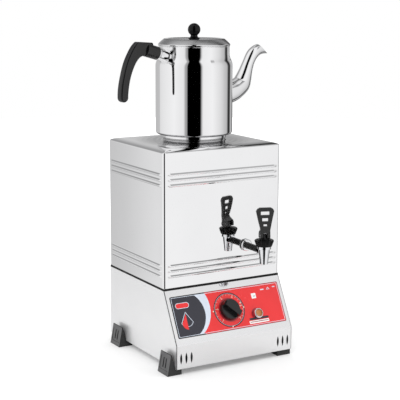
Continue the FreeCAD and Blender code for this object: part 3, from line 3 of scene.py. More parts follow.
import bmesh
import bpy
from mathutils import Matrix, Vector


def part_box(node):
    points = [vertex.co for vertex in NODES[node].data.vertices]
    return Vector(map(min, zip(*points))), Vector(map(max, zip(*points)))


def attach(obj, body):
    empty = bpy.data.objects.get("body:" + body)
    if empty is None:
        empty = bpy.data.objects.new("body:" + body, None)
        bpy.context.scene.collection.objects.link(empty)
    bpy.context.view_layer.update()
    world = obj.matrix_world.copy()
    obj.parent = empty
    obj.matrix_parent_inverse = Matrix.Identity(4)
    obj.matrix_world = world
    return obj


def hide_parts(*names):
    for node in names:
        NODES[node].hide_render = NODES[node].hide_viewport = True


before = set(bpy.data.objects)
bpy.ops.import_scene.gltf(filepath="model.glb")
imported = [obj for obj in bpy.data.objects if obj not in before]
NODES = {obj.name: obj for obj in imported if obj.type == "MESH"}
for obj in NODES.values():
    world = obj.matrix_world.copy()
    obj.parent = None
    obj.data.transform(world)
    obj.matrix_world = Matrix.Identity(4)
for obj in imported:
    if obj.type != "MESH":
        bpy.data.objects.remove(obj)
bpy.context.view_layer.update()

bl_info = {
    "name": "Tea urn",
    "version": (1, 0, 0),
    "blender": (4, 5, 0),
    "location": "3D View > Sidebar > Tea urn",
    "description": "Dresses the packed tea urn: polished sheet, teapot, tap, dial panel, feet and a plain studio",
    "category": "Object",
}

MM = 0.001


def shift(x, y, z):
    """A move in millimetres."""
    return Matrix.Translation(Vector((x, y, z)) * MM)


def turned(axis, degrees):
    """A turn about one of the axes."""
    return Matrix.Rotation(math.radians(degrees), 4, axis)


# The tank's walls, in millimetres: the sheet, half their width and depth, and where they start and end.
SHEET = 0.8
HALF_WIDE, HALF_DEEP = 125, 110
WALL_LOW, WALL_HIGH = 148.8, 395.2
# Below SEAM_TOP the walls are coloured black as a painted shadow along the seam with the base.
SEAM_TOP = 149.7
BEAD_DEPTH = 2.3
BEAD_PITCH = 9.8

# The sloped panel: across runs along X, up climbs the slope, and out leaves the sheet.
SLOPE_RUN, SLOPE_RISE = 47.5, 90.9
ON_SLOPE = shift(0, -HALF_DEEP, 145.4) @ Matrix.Rotation(math.atan2(SLOPE_RISE, SLOPE_RUN), 4, "X")

# On the sloped panel: the label's half width and its ends, the underside of its printing, the dial and the lamp.
LABEL_HALF, LABEL_LOW, LABEL_HIGH = 117, -89.7, -12.2
PRINT_LOW = 0.38
DIAL_SPOT = (0, -51.7)
LAMP_SPOT = (57, -67.2)

# The teapot: its axis stands on the collar's rim, its spout points along its own X.
POT_SPOT = (0.9, -0.3)
CROWN_TOP, COLLAR_TOP = 402, 408
AT_POT = shift(*POT_SPOT, COLLAR_TOP) @ turned("Z", 10)

# The tap: its barrel's axis, measured forward from the tank's front wall.
ON_BARREL = shift(50, -HALF_DEEP, 212.5) @ turned("X", 90)


# Sizes and colours that a user would change.

class UrnSizes(bpy.types.PropertyGroup):
    corner_radius: bpy.props.FloatProperty(
        name="Corner radius", description="Rounding of the tank's folded corners",
        default=0.005, min=0.001, max=0.006, unit="LENGTH", subtype="DISTANCE")
    bead_width: bpy.props.FloatProperty(
        name="Bead width", description="Width of a bead pressed into the tank's walls",
        default=0.0066, min=0.005, max=0.009, unit="LENGTH", subtype="DISTANCE")
    moulded_edge: bpy.props.FloatProperty(
        name="Moulded edge", description="Rounding of the feet's and lever's edges",
        default=0.0006, min=0.0001, max=0.002, unit="LENGTH", subtype="DISTANCE")
    turned_steps: bpy.props.IntProperty(
        name="Turned steps", description="Facets round a turned piece", default=144, min=32, max=256)
    label_line: bpy.props.FloatProperty(
        name="Label line", description="Width of the fine line round the printed label",
        default=0.0008, min=0.0003, max=0.002, unit="LENGTH", subtype="DISTANCE")


class UrnColours(bpy.types.PropertyGroup):
    steel: bpy.props.FloatVectorProperty(
        name="Polished steel", description="Colour of the polished sheet", subtype="COLOR",
        default=(0.92, 0.92, 0.925), min=0, max=1)
    chrome: bpy.props.FloatVectorProperty(
        name="Chrome", description="Colour of the plated tap", subtype="COLOR",
        default=(0.86, 0.865, 0.88), min=0, max=1)
    plastic: bpy.props.FloatVectorProperty(
        name="Black plastic", description="Colour of the handle, knobs and lever", subtype="COLOR",
        default=(0.008, 0.008, 0.0085), min=0, max=1)
    rubber: bpy.props.FloatVectorProperty(
        name="Black rubber", description="Colour of the feet and seals", subtype="COLOR",
        default=(0.036, 0.036, 0.037), min=0, max=1)
    red: bpy.props.FloatVectorProperty(
        name="Label red", description="Main colour of the printed label", subtype="COLOR",
        default=(0.78, 0.022, 0.024), min=0, max=1)
    charcoal: bpy.props.FloatVectorProperty(
        name="Label charcoal", description="Dark end of the printed label", subtype="COLOR",
        default=(0.022, 0.022, 0.033), min=0, max=1)
    pale: bpy.props.FloatVectorProperty(
        name="Label pale", description="Pale band and lines of the printed label", subtype="COLOR",
        default=(0.66, 0.72, 0.82), min=0, max=1)
    amber: bpy.props.FloatVectorProperty(
        name="Amber lens", description="Colour of the indicator lamp", subtype="COLOR",
        default=(0.22, 0.055, 0.022), min=0, max=1)


# Materials

def added(tree, kind, sockets=None, **settings):
    """A new shader node, with its settings and the values of its input sockets."""
    made = tree.nodes.new("ShaderNode" + kind)
    for word, value in settings.items():
        setattr(made, word, value)
    for socket, value in (sockets or {}).items():
        made.inputs[socket].default_value = value
    return made


def ranged(tree, value, source, target=(0, 1)):
    """A value spread from one range over another."""
    spread = added(tree, "MapRange", {"From Min": source[0], "From Max": source[1],
                                      "To Min": target[0], "To Max": target[1]})
    tree.links.new(value, spread.inputs["Value"])
    return spread.outputs["Result"]


def worked(tree, operation, *terms):
    """The result of a Math node on sockets and numbers."""
    result = added(tree, "Math", operation=operation)
    for term, socket in zip(terms, result.inputs):
        if isinstance(term, bpy.types.NodeSocket):
            tree.links.new(term, socket)
        else:
            socket.default_value = term
    return result.outputs[0]


def blended(tree, way, share, base, colour):
    """A colour laid over another by a share."""
    mix = added(tree, "Mix", data_type="RGBA", blend_type=way)
    mix.inputs[7].default_value = (*colour, 1)
    tree.links.new(share, mix.inputs[0])
    tree.links.new(base, mix.inputs[6])
    return mix.outputs[2]


def mixed(tree, share, one, other):
    """Two shaders mixed by a share."""
    mix = added(tree, "MixShader")
    for source, socket in zip((share, one.outputs[0], other.outputs[0]), mix.inputs):
        tree.links.new(source, socket)
    return mix


def bumped(tree, height, depth):
    """A bump node for a height, with its depth in metres."""
    bump = added(tree, "Bump", {"Strength": 1, "Distance": depth})
    tree.links.new(height, bump.inputs["Height"])
    return bump


def noise_in(tree, scale, detail, stretch=(1, 1, 1)):
    """A noise pattern on the piece's own coordinates."""
    mapping = added(tree, "Mapping", {"Scale": stretch})
    pattern = added(tree, "TexNoise", {"Scale": scale, "Detail": detail})
    tree.links.new(added(tree, "TexCoord").outputs["Object"], mapping.inputs["Vector"])
    tree.links.new(mapping.outputs["Vector"], pattern.inputs["Vector"])
    return pattern.outputs[0]


def finish(name, colour, metallic=0.0, gloss=(0.3, 0.4), gloss_scale=40, drift=0.06, drift_scale=25,
           grain=600, depth=0.00002, stretch=(1, 1, 1), waves=0.0, wave_scale=9, coat=0.0, ior=1.5):
    """A finish whose colour drifts a little, whose gloss is uneven and whose surface has a fine grain."""
    made = bpy.data.materials.get(name)
    if made:
        return made
    made = bpy.data.materials.new(name)
    made.use_nodes = True
    made.diffuse_color = (*colour, 1)
    tree = made.node_tree
    link = tree.links.new
    shader = tree.nodes["Principled BSDF"]
    for socket, value in (("Metallic", metallic), ("IOR", ior), ("Coat Weight", coat)):
        shader.inputs[socket].default_value = value
    tint = added(tree, "ValToRGB")
    for stop, spot, change in zip(tint.color_ramp.elements, (0.3, 0.7), (1 - drift, 1 + drift)):
        stop.position = spot
        stop.color = (*[min(1, part * change) for part in colour], 1)
    link(noise_in(tree, drift_scale, 3), tint.inputs["Fac"])
    link(tint.outputs["Color"], shader.inputs["Base Color"])
    link(ranged(tree, noise_in(tree, gloss_scale, 4, stretch), (0.3, 0.7), gloss), shader.inputs["Roughness"])
    bump = bumped(tree, noise_in(tree, grain, 2, stretch), depth)
    if waves:
        link(bumped(tree, noise_in(tree, wave_scale, 0), waves).outputs["Normal"], bump.inputs["Normal"])
    link(bump.outputs["Normal"], shader.inputs["Normal"])
    return made


def colours():
    return bpy.context.scene.urn_colours


def sizes():
    return bpy.context.scene.urn_sizes


def polished_steel():
    return finish("polished_sheet", colours().steel, 1.0, (0.02, 0.045), 30, 0.012, 14, 300, 0.0000001,
                  (1, 1, 1), 0.00003, 6)


def pot_steel():
    return finish("polished_teapot", colours().steel, 1.0, (0.008, 0.022), 40, 0.01, 20, 300, 0.00000005,
                  (1, 1, 1), 0.000008, 10)


def rippled_steel():
    """The top plate's sheet, which ripples in rings towards the teapot's seat, where its colour is darkened as a
    painted reflection of the teapot.
    """
    made = bpy.data.materials.get("rippled_sheet")
    if made:
        return made
    made = finish("rippled_sheet", colours().steel, 1.0, (0.03, 0.05), 30, 0.012, 14, 300, 0.0000001,
                  (1, 1, 1), 0.0002, 7)
    tree = made.node_tree
    link = tree.links.new
    shader = tree.nodes["Principled BSDF"]
    seat = added(tree, "Mapping", {"Location": Vector((*POT_SPOT, CROWN_TOP)) * -MM})
    far = added(tree, "VectorMath", operation="LENGTH")
    rings = added(tree, "TexWave", {"Scale": 30, "Distortion": 3, "Detail": 1, "Detail Scale": 1.5},
                  wave_type="RINGS", rings_direction="SPHERICAL")
    link(added(tree, "TexCoord").outputs["Object"], seat.inputs["Vector"])
    link(seat.outputs["Vector"], far.inputs[0])
    link(seat.outputs["Vector"], rings.inputs["Vector"])
    near = ranged(tree, far.outputs["Value"], (0.078, 0.112), (1, 0))
    ripple = bumped(tree, worked(tree, "MULTIPLY", rings.outputs[1], near), 0.0003)
    link(shader.inputs["Normal"].links[0].from_socket, ripple.inputs["Normal"])
    link(ripple.outputs["Normal"], shader.inputs["Normal"])
    plain = shader.inputs["Base Color"].links[0].from_socket
    # Darkens the colour near the seat: a painted reflection of the teapot in the plate.
    link(blended(tree, "MULTIPLY", near, plain, (0.42, 0.42, 0.425)), shader.inputs["Base Color"])
    return made


def satin_steel():
    return finish("satin_sheet", (0.92, 0.92, 0.925), 0.6, (0.33, 0.4), 30, 0.012, 14, 900, 0.0000004)


def plate_steel():
    return finish("plate_sheet", (0.88, 0.88, 0.885), 1.0, (0.08, 0.12), 30, 0.012, 14, 900, 0.0000004)


def collar_steel():
    return finish("collar_steel", (0.5, 0.5, 0.505), 1.0, (0.05, 0.08), 60, 0.03, 20, 400, 0.0000004, (1, 1, 1),
                  0.00002, 20)


def lid_steel():
    return finish("spun_lid", (0.86, 0.86, 0.865), 1.0, (0.035, 0.055), 40, 0.02, 20, 400, 0.0000002, (1, 1, 1),
                  0.00002, 14)


# Satin steel, darkened: on the lid's recess the darkening is painted shade.
def recess_steel():
    return finish("lid_recess", (0.5, 0.5, 0.505), 1.0, (0.24, 0.3), 40, 0.03, 20, 400, 0.0000004, (1, 1, 1),
                  0.00002, 14)


# Dark steel: on the base's edges, in the vent slots and on the lid's ring it is painted shade of gaps and grooves; it
# also colours the valve stem and the lever pin.
def dark_steel_and_seam_shade():
    return finish("dark_steel_and_painted_seam_shade", (0.11, 0.11, 0.115), 1.0, (0.3, 0.4), 60, 0.1, 60, 700, 0.000004)


# Black rubber for the gasket and the feet's ribs; on the tank walls' bottom strip it is a painted seam shadow.
def black_rubber_and_seam_shadow():
    return finish("black_rubber_and_seam_shadow", (0.006, 0.006, 0.006), 0.0, (0.5, 0.6), 90, 0.2, 50, 900, 0.00002, ior=1.3)


def plain_steel():
    return finish("plain_steel", (0.66, 0.665, 0.67), 1.0, (0.22, 0.34), 60, 0.04, 30, 500, 0.000004, (1, 1, 9))


def zinc():
    return finish("zinc_plate", (0.62, 0.63, 0.65), 1.0, (0.25, 0.38), 90, 0.06, 60, 700, 0.000004)


def chrome():
    return finish("chrome_plate", colours().chrome, 1.0, (0.015, 0.035), 80, 0.01, 40, 400, 0.0000001)


def black_plastic():
    return finish("black_plastic", colours().plastic, 0.0, (0.24, 0.34), 120, 0.12, 60, 1500, 0.000012)


def handle_plastic():
    return finish("handle_plastic", (0.006, 0.006, 0.0065), 0.0, (0.16, 0.24), 90, 0.12, 60, 1500, 0.000006)


def ball_plastic():
    return finish("ball_plastic", (0.002, 0.002, 0.002), 0.0, (0.1, 0.16), 90, 0.12, 60, 1500, 0.000003, ior=1.32)


def knob_plastic():
    return finish("knob_plastic", colours().plastic, 0.0, (0.16, 0.24), 120, 0.12, 60, 1500, 0.000006)


def cap_plastic():
    return finish("cap_plastic", (0.006, 0.006, 0.0065), 0.0, (0.4, 0.5), 120, 0.12, 60, 1500, 0.000006, ior=1.28)


# Lighter rubber for the left feet's outward faces: painted light on the side that faces the light.
def painted_light_rubber():
    return finish("painted_light_rubber", (0.095, 0.095, 0.097), 0.0, (0.3, 0.4), 90, 0.2, 50, 900, 0.00002)


def black_rubber():
    return finish("black_rubber", colours().rubber, 0.0, (0.42, 0.56), 90, 0.2, 50, 900, 0.00004)


def ink(name, colour):
    return finish("ink_" + name, colour, 0.0, (0.2, 0.28), 60, 0.02, 30, 700, 0.000004, coat=0.15)


# Mesh tools. Outlines and heights are in millimetres, and the widths of eased edges in metres.

def linked(name, data):
    """A new object in the scene."""
    thing = bpy.data.objects.new(name, data)
    bpy.context.scene.collection.objects.link(thing)
    return thing


def meshed(name, bm):
    """A new object with a finished mesh."""
    mesh = bpy.data.meshes.new(name)
    bm.to_mesh(mesh)
    bm.free()
    return linked(name, mesh)


def oblong(left, low, right, high, ease=0):
    """The corners of a rectangle."""
    return [(left, low, ease), (right, low, ease), (right, high, ease), (left, high, ease)]


def arc_points(start, end, radius, side, steps):
    """Points of an arc from start to end that bulges to the right of the way (side 1) or to the left (-1)."""
    start, end = Vector(start), Vector(end)
    chord = end - start
    across = Vector((chord.y, -chord.x)).normalized() * side
    centre = (start + end) / 2 - across * math.sqrt(max(radius ** 2 - (chord.length / 2) ** 2, 0))
    first = math.atan2(start.y - centre.y, start.x - centre.x)
    last = math.atan2(end.y - centre.y, end.x - centre.x)
    sweep = (last - first) % math.tau if side > 0 else -((first - last) % math.tau)
    return [(centre.x + radius * math.cos(first + sweep * k / steps),
             centre.y + radius * math.sin(first + sweep * k / steps)) for k in range(1, steps)]


def drawn(corners, ring, steps):
    """The points of an outline, which is a ring or open. A corner is (x, y), (x, y, ease) where it is rounded,
    or (x, y, radius, side) where an arc leaves it."""
    spots = []
    for i, corner in enumerate(corners):
        spots.append((corner[0], corner[1], corner[2] if len(corner) == 3 else 0))
        if len(corner) == 4:
            after = corners[(i + 1) % len(corners)]
            spots += [(x, y, 0) for x, y in arc_points(corner[:2], after[:2], corner[2], corner[3], steps)]
    points = []
    for i, (x, y, ease) in enumerate(spots):
        if not ease or (not ring and i in (0, len(spots) - 1)):
            points.append(Vector((x, y)))
            continue
        here = Vector((x, y))
        before, after = Vector(spots[i - 1][:2]) - here, Vector(spots[(i + 1) % len(spots)][:2]) - here
        start = here + before.normalized() * min(ease, 0.48 * before.length)
        end = here + after.normalized() * min(ease, 0.48 * after.length)
        points += [start.lerp(here, k / 5).lerp(here.lerp(end, k / 5), k / 5) for k in range(6)]
    return points


def lathed(*corners, count=None):
    """An outline of (radius, height) corners turned round the Z axis."""
    bm = bmesh.new()
    spots = [bm.verts.new((p.x * MM, 0, p.y * MM)) for p in drawn(corners, False, 10)]
    edges = [bm.edges.new(pair) for pair in zip(spots, spots[1:])]
    bmesh.ops.spin(bm, geom=spots + edges, cent=(0, 0, 0), axis=(0, 0, 1), dvec=(0, 0, 0), angle=math.tau,
                   steps=count or sizes().turned_steps, use_merge=True)
    bmesh.ops.remove_doubles(bm, verts=bm.verts, dist=1e-7)
    bmesh.ops.recalc_face_normals(bm, faces=bm.faces)
    return bm


def prism(corners, low, high):
    """A flat outline given a thickness along Z."""
    bm = bmesh.new()
    face = bm.faces.new([bm.verts.new((p.x * MM, p.y * MM, low * MM)) for p in drawn(corners, True, 12)])
    grown = bmesh.ops.extrude_face_region(bm, geom=[face])["geom"]
    bmesh.ops.translate(bm, verts=[v for v in grown if isinstance(v, bmesh.types.BMVert)],
                        vec=(0, 0, (high - low) * MM))
    bmesh.ops.recalc_face_normals(bm, faces=bm.faces)
    return bm


def loop_of(points, height):
    """A closed loop of edges at a height."""
    bm = bmesh.new()
    spots = [bm.verts.new((x * MM, y * MM, height * MM)) for x, y in points]
    edges = [bm.edges.new((spots[i - 1], spot)) for i, spot in enumerate(spots)]
    return bm, edges


def grown(bm, edges, place):
    """Extrudes a loop and moves the new one. Returns its edges."""
    new = bmesh.ops.extrude_edge_only(bm, edges=edges)["geom"]
    spots = {v for v in new if isinstance(v, bmesh.types.BMVert)}
    bmesh.ops.transform(bm, matrix=place, verts=list(spots))
    return [e for e in new if isinstance(e, bmesh.types.BMEdge) and set(e.verts) <= spots]


def closed(bm):
    """Caps open ends and turns the faces outward."""
    bmesh.ops.holes_fill(bm, edges=[e for e in bm.edges if e.is_boundary], sides=0)
    bmesh.ops.recalc_face_normals(bm, faces=bm.faces)
    return bm


def through(spots, steps):
    """More points on a smooth line through the given ones."""
    spots = [Vector(s) for s in spots]
    line = []
    for i in range(len(spots) - 1):
        a, b, c, d = spots[max(i - 1, 0)], spots[i], spots[i + 1], spots[min(i + 2, len(spots) - 1)]
        for k in range(steps):
            t = k / steps
            line.append(0.5 * (2 * b + (c - a) * t + (2 * a - 5 * b + 4 * c - d) * t ** 2
                               + (3 * b - 3 * c + d - a) * t ** 3))
    return line + [spots[-1]]


def pipe(spots, less=0.0):
    """A round bar in the XZ plane through spots of (out, up, radius)."""
    bm = bmesh.new()
    line = through(spots, 5)
    before = Matrix.Identity(4)
    edges = None
    for i, spot in enumerate(line):
        way = line[min(i + 1, len(line) - 1)] - line[max(i - 1, 0)]
        lean = Matrix.Rotation(math.atan2(way.x, way.y), 4, "Y")
        place = shift(spot.x, 0, spot.y) @ lean @ Matrix.Scale((spot.z - less) * MM, 4)
        if edges is None:
            bmesh.ops.create_circle(bm, radius=1, segments=80)
            bmesh.ops.transform(bm, matrix=place, verts=bm.verts)
            edges = bm.edges[:]
        else:
            edges = grown(bm, edges, place @ before.inverted())
        before = place
    return closed(bm)


def eased(bm, width, segments=3, sharper=30, test=None):
    """Rounds the edges that are sharper than an angle and pass a test."""
    edges = [e for e in bm.edges if e.is_manifold and e.calc_face_angle(0) > math.radians(sharper)
             and (test is None or test(e))]
    bmesh.ops.bevel(bm, geom=edges, offset=width, offset_type="OFFSET", affect="EDGES", segments=segments,
                    profile=0.5, material=-1, clamp_overlap=True)
    return bm


def moved(bm, *places):
    """Moves a mesh by each placing in turn."""
    for place in places:
        bmesh.ops.transform(bm, matrix=place, verts=bm.verts)
    return bm


def combined(base, tool, operation):
    """Cuts a mesh with another, or welds them together."""
    things = [meshed("blank", bm) for bm in (base, tool)]
    change = things[0].modifiers.new("change", "BOOLEAN")
    change.operation = operation
    change.solver = "EXACT"
    change.object = things[1]
    bpy.context.view_layer.update()
    result = bmesh.new()
    result.from_mesh(things[0].evaluated_get(bpy.context.evaluated_depsgraph_get()).to_mesh())
    for thing in things:
        mesh = thing.data
        bpy.data.objects.remove(thing)
        bpy.data.meshes.remove(mesh)
    return result


def copied(node):
    """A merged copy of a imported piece, with whole flat faces."""
    bm = bmesh.new()
    bm.from_mesh(NODES[node].data)
    bmesh.ops.remove_doubles(bm, verts=bm.verts, dist=2e-6)
    bmesh.ops.dissolve_limit(bm, angle_limit=math.radians(0.6), use_dissolve_boundaries=False, verts=bm.verts,
                             edges=bm.edges)
    return bm


def piece(name, bm, body, material, replaced=(), smooth=35, seams=()):
    """Puts a finished mesh into the scene as a piece that rides on a body.
    Faces with a material index of 1 or more get the finishes in seams."""
    thing = meshed(name, bm)
    mesh = thing.data
    mesh.polygons.foreach_set("use_smooth", [True] * len(mesh.polygons))
    mesh.set_sharp_from_angle(angle=math.radians(smooth))
    for one in (material, *seams):
        mesh.materials.append(one)
    even = thing.modifiers.new("even_shading", "WEIGHTED_NORMAL")
    even.keep_sharp = True
    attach(thing, body)
    if replaced:
        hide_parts(*replaced)


def dressed(material, *nodes):
    """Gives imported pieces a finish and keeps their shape."""
    for node in nodes:
        slots = NODES[node].data.materials
        slots.clear()
        slots.append(material)


# Pieces

class URN_OT_tank(bpy.types.Operator):
    """Makes the polished tank walls with their pressed beads, and the crowned top plate with its collar"""
    bl_idname = "urn.tank"
    bl_label = "Tank"
    bl_options = {"REGISTER", "UNDO"}

    def execute(self, context):
        radius = sizes().corner_radius / MM
        beads = [171.3 + BEAD_PITCH * i for i in range(3)] + [357.6 - BEAD_PITCH * i for i in range(3)]
        half_bead = sizes().bead_width / MM / 2
        margins = [radius + ease for ease in (10, 8.6, 7.3, 6.1, 4.9, 3.8, 2.7, 1.6, 0.6, 0)]
        outline = []
        for x, y in ((1, -1), (1, 1), (-1, 1), (-1, -1)):
            along_x = [(x * (HALF_WIDE - m), y * HALF_DEEP) for m in margins]
            along_y = [(x * HALF_WIDE, y * (HALF_DEEP - m)) for m in margins]
            start, end = (along_x, along_y[::-1]) if x * y < 0 else (along_y, along_x[::-1])
            outline += start + arc_points(start[-1], end[0], radius, 1, 8) + end
        bm, edges = loop_of(outline, WALL_LOW)
        crest = 0.2 * half_bead
        levels = [bead - crest + (half_bead + crest) * k / 7 for bead in beads for k in range(8)]
        levels += [bead - crest - (half_bead - crest) * k / 5 for bead in beads for k in range(1, 6)]
        at = WALL_LOW
        for level in sorted([SEAM_TOP, WALL_HIGH] + levels):
            edges = grown(bm, edges, shift(0, 0, level - at))
            at = level
        for spot in bm.verts:
            height = spot.co.z / MM
            off = min((height - bead for bead in beads), key=abs) + crest
            off /= half_bead + crest if off > 0 else crest - half_bead
            swell = 0.5 + 0.5 * math.cos(math.pi * min(1, off))
            for axis, half, other in ((0, HALF_WIDE, HALF_DEEP), (1, HALF_DEEP, HALF_WIDE)):
                if abs(abs(spot.co[axis]) - half * MM) < 1e-6:
                    margin = other - abs(spot.co[1 - axis]) / MM
                    share = min(1, max(0, (margin - margins[-2]) / (margins[0] - margins[-2])))
                    share = share * share * (3 - 2 * share)
                    spot.co[axis] += math.copysign(BEAD_DEPTH * swell * share * MM, spot.co[axis])
                    break
        bmesh.ops.recalc_face_normals(bm, faces=bm.faces)
        bmesh.ops.solidify(bm, geom=bm.faces[:] + bm.edges[:] + bm.verts[:], thickness=SHEET * MM)
        hole = moved(lathed((0, -4), (6.15, -4), (6.15, 4), (0, 4), count=48), ON_BARREL)
        walls = combined(closed(bm), hole, "DIFFERENCE")
        # The strip of wall below SEAM_TOP takes the black rubber: a painted shadow along the seam.
        for face in walls.faces:
            face.material_index = int(face.calc_center_median().z < SEAM_TOP * MM)
        piece("tank_walls", walls, "urn", polished_steel(), ["tank_shell"], 50, [black_rubber_and_seam_shadow()])
        self.crown(outline)
        dressed(plain_steel(), "tank_floor")
        dressed(black_rubber_and_seam_shadow(), "seam_gasket")
        return {"FINISHED"}

    def crown(self, outline):
        """The top plate, pressed up towards its middle, and the collar that holds the teapot."""
        bm, edges = loop_of(outline, WALL_HIGH)
        was = (0, WALL_HIGH)
        for now in ((0.03, 395.65), (0.12, 396.11), (0.27, 396.54), (0.47, 396.95), (0.72, 397.33), (1.03, 397.67),
                    (1.4, 397.97), (1.8, 398.2), (2.3, 398.42), (3.3, 398.82), (4.8, 399.37), (6.6, 399.9),
                    (9.4, 400.5), (13, 401.05), (17, 401.5), (21.5, 401.85), (26, CROWN_TOP)):
            shrink = Matrix.Diagonal(((HALF_WIDE - now[0]) / (HALF_WIDE - was[0]),
                                      (HALF_DEEP - now[0]) / (HALF_DEEP - was[0]), 1, 1))
            edges = grown(bm, edges, shift(0, 0, now[1]) @ shrink @ shift(0, 0, -was[1]))
            was = now
        ring = bmesh.ops.create_circle(bm, radius=62.2 * MM, segments=len(outline),
                                       matrix=shift(*POT_SPOT, CROWN_TOP))["verts"]
        bmesh.ops.bridge_loops(bm, edges=edges + [e for e in bm.edges if e.verts[0] in ring and e.verts[1] in ring])
        bmesh.ops.recalc_face_normals(bm, faces=bm.faces)
        bmesh.ops.solidify(bm, geom=bm.faces[:] + bm.edges[:] + bm.verts[:], thickness=SHEET * MM)
        piece("tank_crown", closed(bm), "urn", rippled_steel(), ["tank_top"], 40)
        collar = lathed((58.2, 401.2), (62.4, 401.2), (62.2, 402.01, 3.1, -1), (59.05, 405.1), (59, 405.3),
                        (59.5, 405.75, 1.2, 1), (59.6, 407.5, 0.4), (59.5, COLLAR_TOP, 0.3), (58.2, COLLAR_TOP, 0.2),
                        (58.2, 401.2))
        collar = moved(collar, shift(*POT_SPOT, 0))
        piece("tank_collar", collar, "urn", collar_steel(), (), 50)


class URN_OT_base(bpy.types.Operator):
    """Makes the heater base's housing and its sloped front panel"""
    bl_idname = "urn.base"
    bl_label = "Heater base"
    bl_options = {"REGISTER", "UNDO"}

    def execute(self, context):
        def outer(edge):
            middle = (edge.verts[0].co + edge.verts[1].co) / 2
            return abs(abs(middle.x) - HALF_WIDE * MM) < 1e-4 and edge.calc_length() > 0.012
        housing = eased(copied("base_housing"), 0.0007, 3, 60, outer)
        # The eased faces along the housing's side edges at the front take the dark seam steel: a painted shade line
        # along the gap beside the front panel.
        for face in housing.faces:
            spot = face.calc_center_median()
            face.material_index = int(abs(spot.x) > 0.1243 and 0.12 < abs(face.normal.x) < 0.98 and spot.y < -0.1)
        piece("base_sides", housing, "urn", satin_steel(), ["base_housing"], seams=[dark_steel_and_seam_shade()])

        def folds(edge):
            along = edge.verts[0].co - edge.verts[1].co
            middle = (edge.verts[0].co + edge.verts[1].co) / 2
            return abs(along.x) > 0.2 or (abs(middle.x) > 0.1235 and along.length > 0.02)
        panel = eased(copied("front_panel"), 0.0006, 3, 20, folds)
        # The vent slots' walls and the eased side edges take the dark seam steel: painted shade inside the slots and
        # along the gaps beside the housing.
        for face in panel.faces:
            spot = face.calc_center_median()
            slot = spot.z < 0.052 and abs(spot.x) < 0.121 and abs(face.normal.y) < 0.9
            face.material_index = int(slot or (abs(spot.x) > 0.1232 and abs(face.normal.x) > 0.12))
        piece("front_plate", panel, "urn", plate_steel(), ["front_panel"], seams=[dark_steel_and_seam_shade()])
        dressed(plain_steel(), "base_floor")
        piece("seam_tab", eased(copied("tank_tab"), 0.0003, 2, 60), "urn", chrome(), ["tank_tab"])
        dressed(zinc(), "panel_screw")
        return {"FINISHED"}


class URN_OT_feet(bpy.types.Operator):
    """Makes the moulded feet, the left pair with a ribbed field and an outward face painted lighter as lit"""
    bl_idname = "urn.feet"
    bl_label = "Feet"
    bl_options = {"REGISTER", "UNDO"}

    def execute(self, context):
        for node in ("foot_front_left", "foot_rear_left", "foot_front_right", "foot_rear_right"):
            foot = eased(copied(node), sizes().moulded_edge, 3, 30)
            if "left" in node:
                middle = (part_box(node)[0][1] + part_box(node)[1][1]) / 2 / MM
                flat = Matrix.Rotation(math.atan2(7, 38.5) - math.pi / 2, 4, "Y")
                for i, aside in enumerate((-4.5, 4.5)):
                    rib = eased(prism(oblong(-9, -0.9, 9, 0.9), -1.2, 0.78), 0.0004, 2)
                    rib = moved(rib, shift(-136.47, middle + aside, 20.5) @ flat)
                    piece(node.replace("foot", "rib_%d" % i), rib, "urn", black_rubber_and_seam_shadow())
                # Faces turned towards -X take the lighter rubber: painted light on the lit side.
                for face in foot.faces:
                    face.material_index = int(face.normal.x < -0.8)
            piece(node.replace("foot", "moulded_foot"), foot, "urn", black_rubber(), [node], 35,
                  [painted_light_rubber()])
        dressed(zinc(), "foot_screws")
        return {"FINISHED"}


